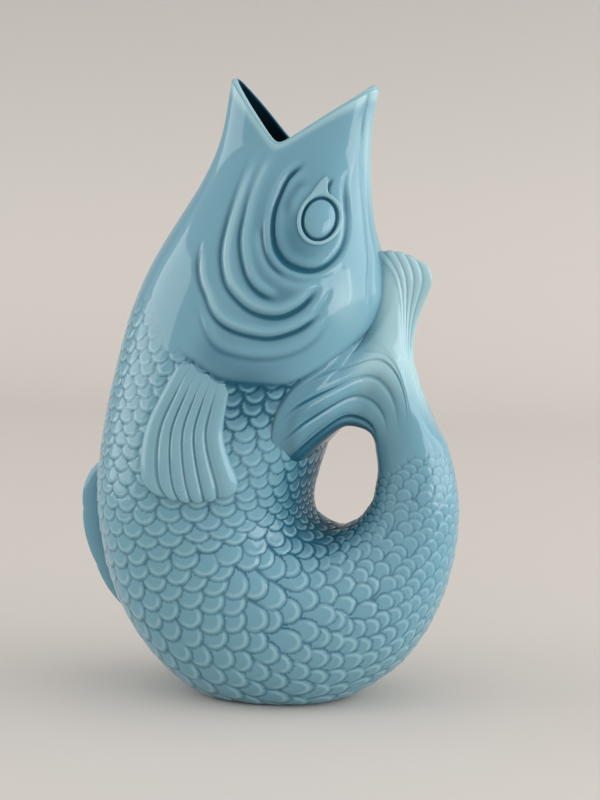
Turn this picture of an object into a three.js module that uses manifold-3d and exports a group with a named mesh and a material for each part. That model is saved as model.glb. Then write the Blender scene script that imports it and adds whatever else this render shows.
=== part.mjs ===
// A stoneware carafe in the shape of a fish, in millimetres with +Z up.
// The fish stands on its curled body: the open mouth at the top is the spout, the belly faces -X,
// and the tail curls up on the +X side to make the handle. It is symmetric about y = 0.
// The side with y < 0 is the fish's left.
import * as THREE from "three";
import { mergeVertices } from "three/addons/utils/BufferGeometryUtils.js";
import Module from "manifold-3d";

const wasm = await Module();
wasm.setup();

// Overall sizes of the trunk, which is the fish without its fins
const TRUNK_LENGTH = 178; // along X, belly to tail
const TRUNK_WIDTH = 110; // along Y, across the flanks
const TRUNK_HEIGHT = 300; // foot to the tips of the mouth

// Places are drawn on a trunk of 178 x 110 x 300 and stretched to the sizes above.
const STRETCH_X = TRUNK_LENGTH / 178;
const STRETCH_Y = TRUNK_WIDTH / 110;
const STRETCH_Z = TRUNK_HEIGHT / 300;

// Clay thicknesses
const WALL = 4.5; // walls of the head, body and tail castings
const LIP = 3.6; // thinned wall at the mouth rim
const FLOOR = 6; // base inside the foot
const SLIP_JOINT = 0.3; // gap at each slip joint between two pieces

// The trunk, from the mouth round the finger hole to the end of the tail, as sections across it.
// Each has its outer (belly side) and inner (back side) point as [x, z] and half its width.
const STATIONS = [
  { outer: [-15, 306], inner: [58, 306], half: 12 },
  { outer: [-18, 287], inner: [53, 285], half: 17 },
  { outer: [-22, 269], inner: [51, 268], half: 19 },
  { outer: [-30, 251], inner: [51, 252], half: 26 },
  { outer: [-40, 235], inner: [52, 238], half: 33 },
  { outer: [-51.5, 217], inner: [54, 223], half: 40 },
  { outer: [-60, 201], inner: [54, 208], half: 45 },
  { outer: [-67, 183], inner: [52, 193], half: 49 },
  { outer: [-72.5, 163], inner: [47, 176], half: 52 },
  { outer: [-77.5, 142], inner: [39, 154], half: 54 },
  { outer: [-81, 121], inner: [32, 131], half: 55 },
  { outer: [-83, 100], inner: [25, 110], half: 55 },
  { outer: [-81, 77], inner: [22, 97], half: 55 },
  { outer: [-74.5, 51], inner: [23, 90], half: 54 },
  { outer: [-61, 26], inner: [26, 87], half: 53 },
  { outer: [-42, 6], inner: [30, 85], half: 51 },
  { outer: [-21, -5], inner: [33.5, 84], half: 49 },
  { outer: [2, -9], inner: [37, 84], half: 46 },
  { outer: [26, -7], inner: [40, 85], half: 43 },
  { outer: [48, 3], inner: [44, 87], half: 39 },
  { outer: [68, 18], inner: [48, 90], half: 34 },
  { outer: [82, 38], inner: [51, 94], half: 29 },
  { outer: [90, 58], inner: [54, 99], half: 25 },
  { outer: [94, 77], inner: [55, 104], half: 22 },
  { outer: [95, 95], inner: [56, 110], half: 20 },
  { outer: [93, 111], inner: [56, 116], half: 18 },
  { outer: [89, 126], inner: [55, 123], half: 17 },
];
const SECTION_POWER = 2.2; // 2 is an ellipse, more is squarer
const NECK = 8.5; // station of the joint between head and body
const TAIL_ROOT = 19.4; // station of the joint between body and tail
const HOLLOW_END = 24.5; // station where the hollow in the tail stops
const TAIL_END = STATIONS.length - 1;

// The mouth is a V cut with a rounded corner
const MOUTH_CORNER = [9, 266.5];
const LOWER_JAW_SLOPE = 1.27; // rise of the rim per millimetre towards the lower jaw's tip
const UPPER_JAW_SLOPE = 0.64;
const CORNER_ROUNDING = 6;

// Fins and eyes
const PECTORAL_FIN_HEIGHT = 5; // how far it stands out from the body at its free end
const PECTORAL_ROOT_SHARE = 0.3; // share of that height at its root
const PECTORAL_FIN_BULGE = 7; // rounding of the free end
const PECTORAL_RIBS = 6;
const RIB_DEPTH = 1.2;
const BELLY_FIN_HEIGHT = 12.5;
const BELLY_FIN_SPAN = { from: 10.6, to: 13.65 }; // stations
const BELLY_FIN_HALF = 4; // half its thickness
const BELLY_FIN_SCALLOPS = 3;
const BELLY_FIN_END = 1; // height at its two ends
const SCALLOP_SHARE = 0.1; // depth of the scallops as a share of the fin's height
const TAIL_FIN_HALF = 16; // half its thickness where it is clear of the body
const TAIL_FIN_TIP_HALF = 8; // half its thickness at the flared upper end
const TAIL_FIN_RELIEF = 3.2; // how far the lobes stand out from the sides of the body
const TAIL_FIN_POWER = 5; // section of the lobes, squarer than the trunk
const TAIL_FIN_STUB = 4; // length of the round root that both lobes grow from
const LOBE_BULGE = 5; // rounding of the lobes' free ends
const LOBE_SPREAD = 42; // half the width that the lobe over the hole spreads to
const LOBE_SPREAD_START = 1 / 3; // share of the way along it where it starts to spread
const LOBE_SPREAD_RUN = 1 / 2; // share of the way that the spread takes
const EYE_PLACE = [34.5, 234.3];
const EYE = { halfWidth: 6.6, halfHeight: 8.2, dome: 3, edge: 0.5 };
const EYE_RING_WIDTH = 3.2;
const EYE_RING_GAP = 0.8;
const EYE_RING_HEIGHT = 1.8;
const TEAR_LENGTH = 7; // the ring's pointed upper end
const TEAR_SHARPNESS = 12;
const SPRIG_ROOT = 2; // how far a pressed-on piece's blank reaches into the trunk before it is cut to seat

// Fineness of the facets
const TRUNK_COLUMNS = 40;
const HEAD_ROWS = 11;
const BODY_ROWS = 24;
const CHAMBER_ROWS = 18;
const TAIL_COLUMNS = 32;
const TAIL_ROWS = 14;
const TAIL_HOLLOW_ROWS = 10;
const LOBE_COLUMNS = 32;
const LOBE_ROWS = 16;
const PECTORAL_ROWS = 12;
const BELLY_FIN_ROWS = 20;
const EYE_CELLS = 10;
const EYE_RING_STEPS = 40;
const EYE_RING_COLUMNS = 3;
const FLANK_SAMPLES = 168; // sections looked at when the trunk's width at a place is found
const RIM_SEARCH_STEPS = 40;
const WELD = 1e-4; // corners closer than this are one

const GLAZE = new THREE.MeshStandardMaterial({ color: 0x6fa9c4, roughness: 0.12, metalness: 0 });

const lerp = THREE.MathUtils.lerp;
const smooth = (value) => THREE.MathUtils.smoothstep(value, 0, 1);
const signedPower = (value, power) => Math.sign(value) * Math.abs(value) ** power;
const smoothMax = (a, b, blend) => (a + b + Math.sqrt((a - b) ** 2 + blend ** 2)) / 2;
const steps = (count) => Array.from({ length: count + 1 }, (_, i) => i / count);
const onSketch = ([x, z]) => new THREE.Vector2(x * STRETCH_X, z * STRETCH_Z);
const angles = (count) => Array.from({ length: count }, (_, i) => (2 * Math.PI * (i + 0.5)) / count);

function lineThrough(points) {
  return new THREE.CatmullRomCurve3(points, false, "catmullrom");
}

// The outer line carries half the width in its y.
const stretch = new THREE.Vector3(STRETCH_X, STRETCH_Y, STRETCH_Z);
const outerLine = lineThrough(
  STATIONS.map(({ outer, half }) => new THREE.Vector3(outer[0], half, outer[1]).multiply(stretch)),
);
const innerLine = lineThrough(
  STATIONS.map(({ inner }) => new THREE.Vector3(inner[0], 0, inner[1]).multiply(stretch)),
);

// The trunk's section at a station: its centre, half sizes, and the ways out to the belly and on to the tail.
function sectionAt(station) {
  const share = station / TAIL_END;
  const outer = outerLine.getPoint(share);
  const inner = innerLine.getPoint(share);
  const half = outer.y;
  outer.y = 0;
  const centre = outer.clone().add(inner).multiplyScalar(0.5);
  const outward = outer.clone().sub(inner).normalize();
  const onward = new THREE.Vector3(-outward.z, 0, outward.x);
  return { centre, outward, onward, reach: outer.distanceTo(inner) / 2, half };
}

// A point of the trunk's skin, moved out by offset; angle 0 is the belly line and pi the back line.
function skinPoint(section, angle, offset) {
  const along = (section.reach + offset) * signedPower(Math.cos(angle), 2 / SECTION_POWER);
  const across = (section.half + offset) * signedPower(Math.sin(angle), 2 / SECTION_POWER);
  return section.centre.clone().addScaledVector(section.outward, along).setY(across);
}

// A ring of skin points; none goes below the floor height, and shift moves the ring along the trunk.
function trunkRing(station, columns, { offset = 0, floor = 0, shift = 0 } = {}) {
  const section = sectionAt(station);
  return angles(columns).map((angle) => {
    const point = skinPoint(section, angle, offset).addScaledVector(section.onward, shift);
    return point.setZ(Math.max(point.z, floor));
  });
}

// Stations between two joints, without the joints themselves.
const between = (from, to, count) => steps(count).slice(1, -1).map((share) => lerp(from, to, share));

// A closed surface through rings of equal length. Without a loop, the first and last ring are capped
// by joining each point to its mirror image in the ring.
function loft(rings, loop) {
  const size = rings[0].length;
  const index = [];
  const quad = (a, b, c, d) => index.push(a, b, c, a, c, d);
  const spans = loop ? rings.length : rings.length - 1;
  for (let row = 0; row < spans; row++) {
    const here = row * size;
    const next = ((row + 1) % rings.length) * size;
    for (let k = 0; k < size; k++) {
      const l = (k + 1) % size;
      quad(here + k, here + l, next + l, next + k);
    }
  }
  const last = (rings.length - 1) * size;
  for (let k = 0; !loop && k < size / 2 - 1; k++) {
    quad(size - 1 - k, size - 2 - k, k + 1, k);
    quad(last + k, last + k + 1, last + size - 2 - k, last + size - 1 - k);
  }
  return closedGeometry(rings.flat(), index);
}

// The surface with its faces turned outwards.
function closedGeometry(points, index) {
  const corner = (i) => points[index[i]];
  let volume = 0;
  for (let i = 0; i < index.length; i += 3) {
    volume += corner(i).dot(corner(i + 1).clone().cross(corner(i + 2)));
  }
  const outward = volume > 0 ? index : [...index].reverse();
  return new THREE.BufferGeometry().setFromPoints(points).setIndex(outward);
}

function solidOf(geometry) {
  const merged = mergeVertices(geometry, WELD);
  return new wasm.Manifold(
    new wasm.Mesh({
      numProp: 3,
      vertProperties: merged.getAttribute("position").array,
      triVerts: new Uint32Array(merged.index.array),
    }),
  );
}

function geometryOf(solid) {
  const mesh = solid.getMesh();
  return new THREE.BufferGeometry()
    .setAttribute("position", new THREE.BufferAttribute(mesh.vertProperties, 3))
    .setIndex(new THREE.BufferAttribute(mesh.triVerts, 1));
}

// Half the trunk's width at a place [x, z] seen from the side; 0 beside the trunk.
const FLANK_STATIONS = 14;
const flankSections = steps(FLANK_SAMPLES).map((share) => sectionAt(share * FLANK_STATIONS));
function flank(x, z) {
  const place = new THREE.Vector3(x, 0, z);
  const ahead = flankSections.map(({ centre, onward }) => place.clone().sub(centre).dot(onward));
  let depth = 0;
  for (let i = 1; i < ahead.length; i++) {
    if (ahead[i - 1] < 0 || ahead[i] >= 0) continue;
    const share = ahead[i - 1] / (ahead[i - 1] - ahead[i]);
    const section = sectionAt(((i - 1 + share) / FLANK_SAMPLES) * FLANK_STATIONS);
    const along = Math.abs(place.clone().sub(section.centre).dot(section.outward)) / section.reach;
    const inside = Math.max(0, 1 - along ** SECTION_POWER);
    depth = Math.max(depth, section.half * inside ** (1 / SECTION_POWER));
  }
  return depth;
}

// Head: an open shell whose rim follows the V of the mouth
function mouthRim(x) {
  const corner = onSketch(MOUTH_CORNER);
  const along = x - corner.x;
  return corner.y + smoothMax(-along * LOWER_JAW_SLOPE, along * UPPER_JAW_SLOPE, CORNER_ROUNDING);
}

function rimStation(angle) {
  let above = 0;
  let below = NECK / 2;
  for (let i = 0; i < RIM_SEARCH_STEPS; i++) {
    const middle = (above + below) / 2;
    const point = skinPoint(sectionAt(middle), angle, 0);
    if (point.z > mouthRim(point.x)) above = middle;
    else below = middle;
  }
  return below;
}

// A ring of the head, at a share of the way from the neck up to the rim; lift raises it along the trunk.
const headAngles = angles(TRUNK_COLUMNS);
const rimStations = headAngles.map(rimStation);
function headRing(share, offset, lift = 0) {
  return headAngles.map((angle, k) => {
    const section = sectionAt(lerp(NECK, rimStations[k], share));
    return skinPoint(section, angle, offset).addScaledVector(section.onward, -lift);
  });
}
const headShares = steps(HEAD_ROWS).slice(1);

function headShell() {
  const joint = { shift: -SLIP_JOINT / 2 };
  const inside = headShares.map((share) => headRing(share, -lerp(WALL, LIP, share)));
  return loft(
    [
      trunkRing(NECK, TRUNK_COLUMNS, joint),
      ...headShares.map((share) => headRing(share, 0)),
      headRing(1, -LIP / 2, LIP / 3),
      ...inside.reverse(),
      trunkRing(NECK, TRUNK_COLUMNS, { ...joint, offset: -WALL }),
    ],
    true,
  );
}

// Body: an open shell that stands on its flat foot
function bodyShell() {
  const ring = (options) => (station) => trunkRing(station, TRUNK_COLUMNS, options);
  const inner = { offset: -WALL, floor: FLOOR };
  return loft(
    [
      trunkRing(NECK, TRUNK_COLUMNS, { shift: SLIP_JOINT / 2 }),
      ...between(NECK, TAIL_ROOT, BODY_ROWS).map(ring()),
      trunkRing(TAIL_ROOT, TRUNK_COLUMNS, { shift: -SLIP_JOINT / 2 }),
      trunkRing(TAIL_ROOT, TRUNK_COLUMNS, { ...inner, shift: -SLIP_JOINT / 2 }),
      ...between(TAIL_ROOT, NECK, CHAMBER_ROWS).map(ring(inner)),
      trunkRing(NECK, TRUNK_COLUMNS, { ...inner, shift: SLIP_JOINT / 2 }),
    ],
    true,
  );
}

// Tail: a hollow handle, open at its root and closed at its end
function tailHandle() {
  const ring = (options) => (station) => trunkRing(station, TAIL_COLUMNS, options);
  const inner = { offset: -WALL };
  return loft(
    [
      trunkRing(HOLLOW_END, TAIL_COLUMNS, inner),
      ...between(HOLLOW_END, TAIL_ROOT, TAIL_HOLLOW_ROWS).map(ring(inner)),
      trunkRing(TAIL_ROOT, TAIL_COLUMNS, { ...inner, shift: SLIP_JOINT / 2 }),
      trunkRing(TAIL_ROOT, TAIL_COLUMNS, { shift: SLIP_JOINT / 2 }),
      ...between(TAIL_ROOT, TAIL_END, TAIL_ROWS).map(ring()),
      trunkRing(TAIL_END, TAIL_COLUMNS, { shift: -SLIP_JOINT }),
    ],
    false,
  );
}

// What is set on to the trunk is cut to seat on it, a slip joint away.
// These solids fill the trunk that far out.
const FILLING_OVERLAP = 0.1; // stations by which two fillings run into each other at the neck
const fillingRing = (columns) => (station) => trunkRing(station, columns, { offset: SLIP_JOINT });
const filling = (rings) => solidOf(loft(rings, false));
const headFilling = filling([
  fillingRing(TRUNK_COLUMNS)(NECK + FILLING_OVERLAP),
  ...headShares.map((share) => headRing(share, SLIP_JOINT)),
]);
const bodyFilling = filling(
  [NECK - FILLING_OVERLAP, ...between(NECK, TAIL_ROOT, BODY_ROWS)].map(fillingRing(TRUNK_COLUMNS)),
);
const seated = (solid) => geometryOf(solid.subtract(headFilling).subtract(bodyFilling));

// A sheet between two edge lines seen from the side; its free end bulges out by some millimetres.
function sheetBetween(firstEdge, secondEdge, bulge) {
  const curves = [firstEdge, secondEdge].map((edge) => new THREE.SplineCurve(edge.map(onSketch)));
  return (across, along) => {
    const [first, second] = curves.map((curve) => curve.getPoint(along));
    const onward = second.clone().sub(first).rotateAround(new THREE.Vector2(), Math.PI / 2).normalize();
    const reach = bulge * smooth(along * 2 - 1) * Math.sin(Math.PI * across);
    return first.lerp(second, across).addScaledVector(onward, reach);
  };
}

// Tail fin: one lobe arches over the finger hole and spreads on to both sides of the body.
// The other flares up behind the head.
const FLANK_LOBE = sheetBetween(
  [[83, 126], [73, 158], [62, 178], [47, 172], [32, 166], [19, 157], [13, 141]],
  [[55, 123], [52.3, 131.5], [45.6, 135.4], [35.6, 130.2], [24.3, 120.4], [19, 117], [14, 116]],
  -LOBE_BULGE,
);
const UPPER_LOBE = sheetBetween(
  [[89, 126], [80.9, 142.4], [75.9, 159], [71.9, 173.3], [73.7, 187.6], [81.5, 204]],
  [[61, 124], [57, 146], [43, 168], [44, 184], [48, 200], [52, 215]],
  -LOBE_BULGE,
);

function lobe(sheet, halfAt) {
  const rings = steps(LOBE_ROWS).map((along) => {
    const power = 2 / lerp(SECTION_POWER, TAIL_FIN_POWER, smooth(along * 3));
    return angles(LOBE_COLUMNS).map((angle) => {
      const across = 0.5 + 0.5 * signedPower(Math.cos(angle), power);
      const { x, y: z } = sheet(across, along);
      return new THREE.Vector3(x, halfAt(x, z, along) * signedPower(Math.sin(angle), power), z);
    });
  });
  return solidOf(loft(rings, false));
}

function tailFin() {
  const stub = [SLIP_JOINT, TAIL_FIN_STUB].map((shift) => trunkRing(TAIL_END, TAIL_COLUMNS, { shift }));
  const flankHalf = (x, z, along) => {
    const spread = smooth((along - LOBE_SPREAD_START) / LOBE_SPREAD_RUN);
    const bridge = lerp(TAIL_FIN_HALF, LOBE_SPREAD, spread);
    return smoothMax(bridge, flank(x, z) + TAIL_FIN_RELIEF, TAIL_FIN_RELIEF);
  };
  const upperHalf = (x, z, along) => lerp(TAIL_FIN_HALF, TAIL_FIN_TIP_HALF, smooth(along));
  const { half } = sectionAt(TAIL_END);
  const tailFilling = filling([
    ...between(TAIL_ROOT, TAIL_END, TAIL_ROWS).map(fillingRing(TAIL_COLUMNS)),
    trunkRing(TAIL_END, TAIL_COLUMNS, { offset: half }),
  ]);
  return seated(
    solidOf(loft(stub, false))
      .add(lobe(FLANK_LOBE, flankHalf))
      .add(lobe(UPPER_LOBE, upperHalf))
      .subtract(tailFilling),
  );
}

// A low piece pressed on to one side of the trunk; side is -1 for the fish's left and 1 for its right.
// Heights are above the trunk.
function sprig({ columns, rows, loop, place, height, side }) {
  const skin = (across, along, lift) => {
    const { x, y: z } = place(across, along);
    return new THREE.Vector3(x, side * (flank(x, z) + lift), z);
  };
  const shares = steps(columns);
  const rings = steps(rows).map((along) => [
    ...shares.map((across) => skin(across, along, SLIP_JOINT + height(across, along))),
    ...[...shares].reverse().map((across) => skin(across, along, -SPRIG_ROOT)),
  ]);
  return seated(solidOf(loft(loop ? rings.slice(0, -1) : rings, loop)));
}

// Pectoral fins: ribbed plates that stand out most at their free end
const PECTORAL_SHEET = sheetBetween(
  [[-26.4, 172.8], [-39.6, 152.5], [-46.9, 130.7], [-46, 118], [-38, 109]],
  [[-2, 161.8], [-5.7, 146.9], [-6.4, 133.1], [-1.7, 119.2], [0.2, 111.3]],
  -PECTORAL_FIN_BULGE,
);

function pectoralFin(side) {
  const height = (across, along) => {
    const rib = RIB_DEPTH * Math.abs(Math.sin(Math.PI * PECTORAL_RIBS * across));
    return lerp(PECTORAL_ROOT_SHARE, 1, along) * PECTORAL_FIN_HEIGHT - RIB_DEPTH + rib;
  };
  const columns = 2 * PECTORAL_RIBS;
  return sprig({ columns, rows: PECTORAL_ROWS, loop: false, place: PECTORAL_SHEET, height, side });
}

// Belly fin: a low crest with a scalloped edge on the belly line
function bellyFin() {
  const rings = steps(BELLY_FIN_ROWS).map((share) => {
    const section = sectionAt(lerp(BELLY_FIN_SPAN.from, BELLY_FIN_SPAN.to, share));
    const scallop = 1 - SCALLOP_SHARE * Math.abs(Math.sin(BELLY_FIN_SCALLOPS * Math.PI * share));
    const hump = Math.sqrt(Math.abs(Math.sin(Math.PI * share)));
    const height = BELLY_FIN_END + BELLY_FIN_HEIGHT * scallop * hump;
    const rootAngle = Math.asin((BELLY_FIN_HALF / section.half) ** (SECTION_POWER / 2));
    const root = [-1, -0.4, 0.4, 1].map((side) => skinPoint(section, side * rootAngle, -SPRIG_ROOT));
    const crest = [[0.8, 0.6], [0.4, 1], [-0.4, 1], [-0.8, 0.6]].map(([side, rise]) =>
      skinPoint(section, 0, SLIP_JOINT + height * rise).setY(side * BELLY_FIN_HALF),
    );
    return [...crest.slice(2), ...root, ...crest.slice(0, 2)];
  });
  return seated(solidOf(loft(rings, false)));
}

// Eyes: a domed eyeball inside a ring drawn out to a point at the top
function onDisc(across, along) {
  const a = 2 * across - 1;
  const b = 2 * along - 1;
  return new THREE.Vector2(a * Math.sqrt(1 - (b * b) / 2), b * Math.sqrt(1 - (a * a) / 2));
}

const eyeCentre = onSketch(EYE_PLACE);

function eyeball(side) {
  const size = new THREE.Vector2(EYE.halfWidth, EYE.halfHeight);
  const place = (across, along) => onDisc(across, along).multiply(size).add(eyeCentre);
  const height = (across, along) => {
    const fromRim = Math.max(0, 1 - onDisc(across, along).lengthSq());
    return lerp(EYE.edge, EYE.dome, Math.sqrt(fromRim));
  };
  return sprig({ columns: EYE_CELLS, rows: EYE_CELLS, loop: false, place, height, side });
}

function eyeRing(side) {
  const place = (across, along) => {
    const angle = 2 * Math.PI * along;
    const grow = EYE_RING_GAP + EYE_RING_WIDTH * across;
    const tear = across * TEAR_LENGTH * Math.max(0, Math.sin(angle)) ** TEAR_SHARPNESS;
    return new THREE.Vector2(
      eyeCentre.x + (EYE.halfWidth + grow) * Math.cos(angle),
      eyeCentre.y + (EYE.halfHeight + grow + tear) * Math.sin(angle),
    );
  };
  const height = (across) => EYE_RING_HEIGHT * lerp(0.5, 1, Math.sin(Math.PI * across));
  return sprig({ columns: EYE_RING_COLUMNS, rows: EYE_RING_STEPS, loop: true, place, height, side });
}

const carafe = new THREE.Group();
carafe.name = "fish_carafe";
const pieces = {
  head_shell: headShell(),
  body_shell: bodyShell(),
  tail_handle: tailHandle(),
  tail_fin: tailFin(),
  left_pectoral_fin: pectoralFin(-1),
  right_pectoral_fin: pectoralFin(1),
  belly_fin: bellyFin(),
  left_eye: eyeball(-1),
  right_eye: eyeball(1),
  left_eye_ring: eyeRing(-1),
  right_eye_ring: eyeRing(1),
};
for (const [name, geometry] of Object.entries(pieces)) {
  const mesh = new THREE.Mesh(geometry, GLAZE);
  mesh.name = name;
  carafe.add(mesh);
}

export default carafe;
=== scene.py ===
"""A glazed stoneware fish carafe, dressed over its solids and laid out as an add-on.

Shapes are worked out in millimetres, with +Z up, the belly towards -X and the fish's left side at y < 0,
and become metres when a mesh is made.
"""
import functools
import math
from typing import NamedTuple

import bpy
import numpy as np
from mathutils import Color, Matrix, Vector


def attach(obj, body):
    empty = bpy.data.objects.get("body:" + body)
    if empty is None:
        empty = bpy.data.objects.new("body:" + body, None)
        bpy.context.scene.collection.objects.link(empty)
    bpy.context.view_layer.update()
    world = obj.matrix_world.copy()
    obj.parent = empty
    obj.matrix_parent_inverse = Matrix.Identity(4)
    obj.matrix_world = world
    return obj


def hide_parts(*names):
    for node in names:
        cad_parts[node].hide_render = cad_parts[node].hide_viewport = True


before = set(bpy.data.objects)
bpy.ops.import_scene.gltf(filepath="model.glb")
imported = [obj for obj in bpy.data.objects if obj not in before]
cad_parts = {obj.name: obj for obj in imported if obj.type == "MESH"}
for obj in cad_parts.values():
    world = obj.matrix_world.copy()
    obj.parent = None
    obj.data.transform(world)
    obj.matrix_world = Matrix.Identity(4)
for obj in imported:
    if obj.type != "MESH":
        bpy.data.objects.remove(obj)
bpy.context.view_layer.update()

bl_info = {
    "name": "Fish Carafe",
    "version": (1, 0, 0),
    "blender": (4, 5, 0),
    "location": "3D View > Sidebar > Carafe",
    "description": "Builds a glazed stoneware fish carafe over its solids",
    "category": "Object",
}

MM = 0.001

# Trunk: outer x and z, inner x and z, half the width, from the mouth round the finger hole to the tail's end
STATIONS = (
    (-15, 306, 58, 306, 12),
    (-18, 287, 53, 285, 17),
    (-22, 269, 51, 268, 19),
    (-30, 251, 51, 252, 26),
    (-40, 235, 52, 238, 33),
    (-51.5, 217, 54.5, 223, 40),
    (-60, 201, 58.5, 208, 45),
    (-67, 183, 57.5, 193, 49),
    (-72.5, 163, 51, 176, 52),
    (-77.5, 142, 40, 154, 54),
    (-81, 121, 32, 131, 55),
    (-83, 100, 25, 110, 55),
    (-81, 77, 22, 97, 55),
    (-74.5, 51, 23, 90, 54),
    (-61, 26, 26, 87, 53),
    (-42, 6, 30, 85, 51),
    (-21, -5, 33.5, 84, 49),
    (2, -9, 37, 84, 46),
    (26, -7, 40, 85, 43),
    (48, 3, 44, 87, 39),
    (68, 18, 48, 90, 34),
    (82, 38, 51, 94, 29),
    (90, 58, 54, 99, 25),
    (94, 77, 55, 104, 22),
    (95, 95, 56, 110, 20),
    (93, 111, 56, 116, 18),
    (89, 126, 55, 123, 17),
)
# Power of its rounded sections
SECTION_POWER = 2.2
# Stations of the joints, of the end of the tail's hollow and of the tail's end
NECK = 8.5
WAIST = 13.5
TAIL_ROOT = 19.4
HOLLOW_END = 24.5
TAIL_END = len(STATIONS) - 1
# Station down to which the sides can carry fins and eyes
FLANK_END = 14.6
# Least height of the inside, and the rounding where the trunk runs into the flat foot
FLOOR = 6.0
FOOT_ROUNDING = 2.0
# Power with which the head's wall thins to the lip
LIP_TAPER = 3

# Mouth: a V with a rounded corner and rounded tips
MOUTH_CORNER = (9.8, 265.6)
LOWER_JAW_SLOPE = 1.36
UPPER_JAW_SLOPE = 0.66
CORNER_ROUNDING = 6.0
JAW_TOP = 303.0
JAW_ROUNDING = 9.0

# How much thinner the glaze is on the rim, from which share of the way up the head, and the depth of the
# painted shade inside
RIM_GLAZE = 0.85
RIM_GLAZE_START = 0.955
INSIDE_SHADE = 2.0
# Shares of the way over the lip between which the painted shade deepens to that
LIP_SHADE = (0.5, 0.8)
# Depth of the glaze that pools round the finger hole, with painted shade there, how far it reaches as shares
# of the girth, and the stations between which it begins
HOLE_SHADE = 0.85
HOLE_SHADE_REACH = (0.03, 0.17)
HOLE_SHADE_START = (9, 11)
# Broad places on the sides darkened as painted shade, or paled as painted light where the depth is below 0:
# middle, half sizes and depth
PAINTED_LIGHT_PLACES = (
    ((21, 214), (23, 42), 0.62),
    ((4, 150), (20, 20), 0.7),
    ((-12, 174), (12, 12), 0.35),
    ((50, 250), (8, 40), -0.45),
    ((44, 196), (9, 16), -0.55),
)
# Heights between which the lines and the glaze of the head, with its painted light and shade, begin
HEAD_START = (120, 150)

# Scales: at a station, the length of a scale that shows, and its width
SCALE_SIZES = (
    (5, 5.6, 8.5), (9, 6, 11), (12, 6.2, 13.2), (15, 8.4, 13.2),
    (18, 8.4, 10.4), (21, 5.2, 8), (24, 3.7, 7.6), (26, 3.6, 7),
)
# How much smaller they are beside the finger hole, by the share of the girth from the line that faces it
SCALE_SHRINK = ((0.02, 0.62), (0.2, 1.0))
# Length of a scale that stands out fully, and the least share of that relief on a smaller one
FULL_SCALE_LENGTH = 7.0
LEAST_SCALE_RELIEF = 0.6
# Most that a scale is drawn out where the rows fan
SCALE_STRETCH = 1.5
# Least distance between two scales as a share of their size, what lengthwise distance counts for in that,
# and how far they stray from even rows
SCALE_CROWDING = 0.6
LENGTHWISE_CROWDING = 0.75
SCALE_STRAY = 0.06
# Sets that the scales are dealt into, and the seed for how they stray
SCALE_SETS = 8
SCALE_SEED = 4
# Rows of scales and rows of points are spaced along lines this far from the inner to the outer line
SCALE_LINE = 0.62
POINT_LINE = 0.7

# Fineness
COLUMNS = 448
TABLE_STEP = 0.01
HALF_SECTION_POINTS = 721
FLANK_ROWS = 293
PLACES_AT_ONCE = 20000
LINE_POINTS = 80
LONG_LINE_POINTS = 160
SPAN_POINTS = 200
ROW_LENGTH = 0.85
HEAD_LENGTH = 165.0
INNER_ROWS = 16
LIP_ROWS = 9
# Taken off a count so that a place stays just short of the last one
SHORT_OF_LAST = 1.001


class Stroke(NamedTuple):
    """A line on both cheeks, seen from the side, with a rounded ridge on its left.

    The line is a groove, or is raised where groove is below 0. The starts and the end are fades.
    """

    places: tuple
    groove: float
    groove_width: float
    ridge: float = 0.0
    ridge_width: float = 2.0
    groove_start: float = 6.0
    ridge_start: float = 6.0
    end: float = 8.0


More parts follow.
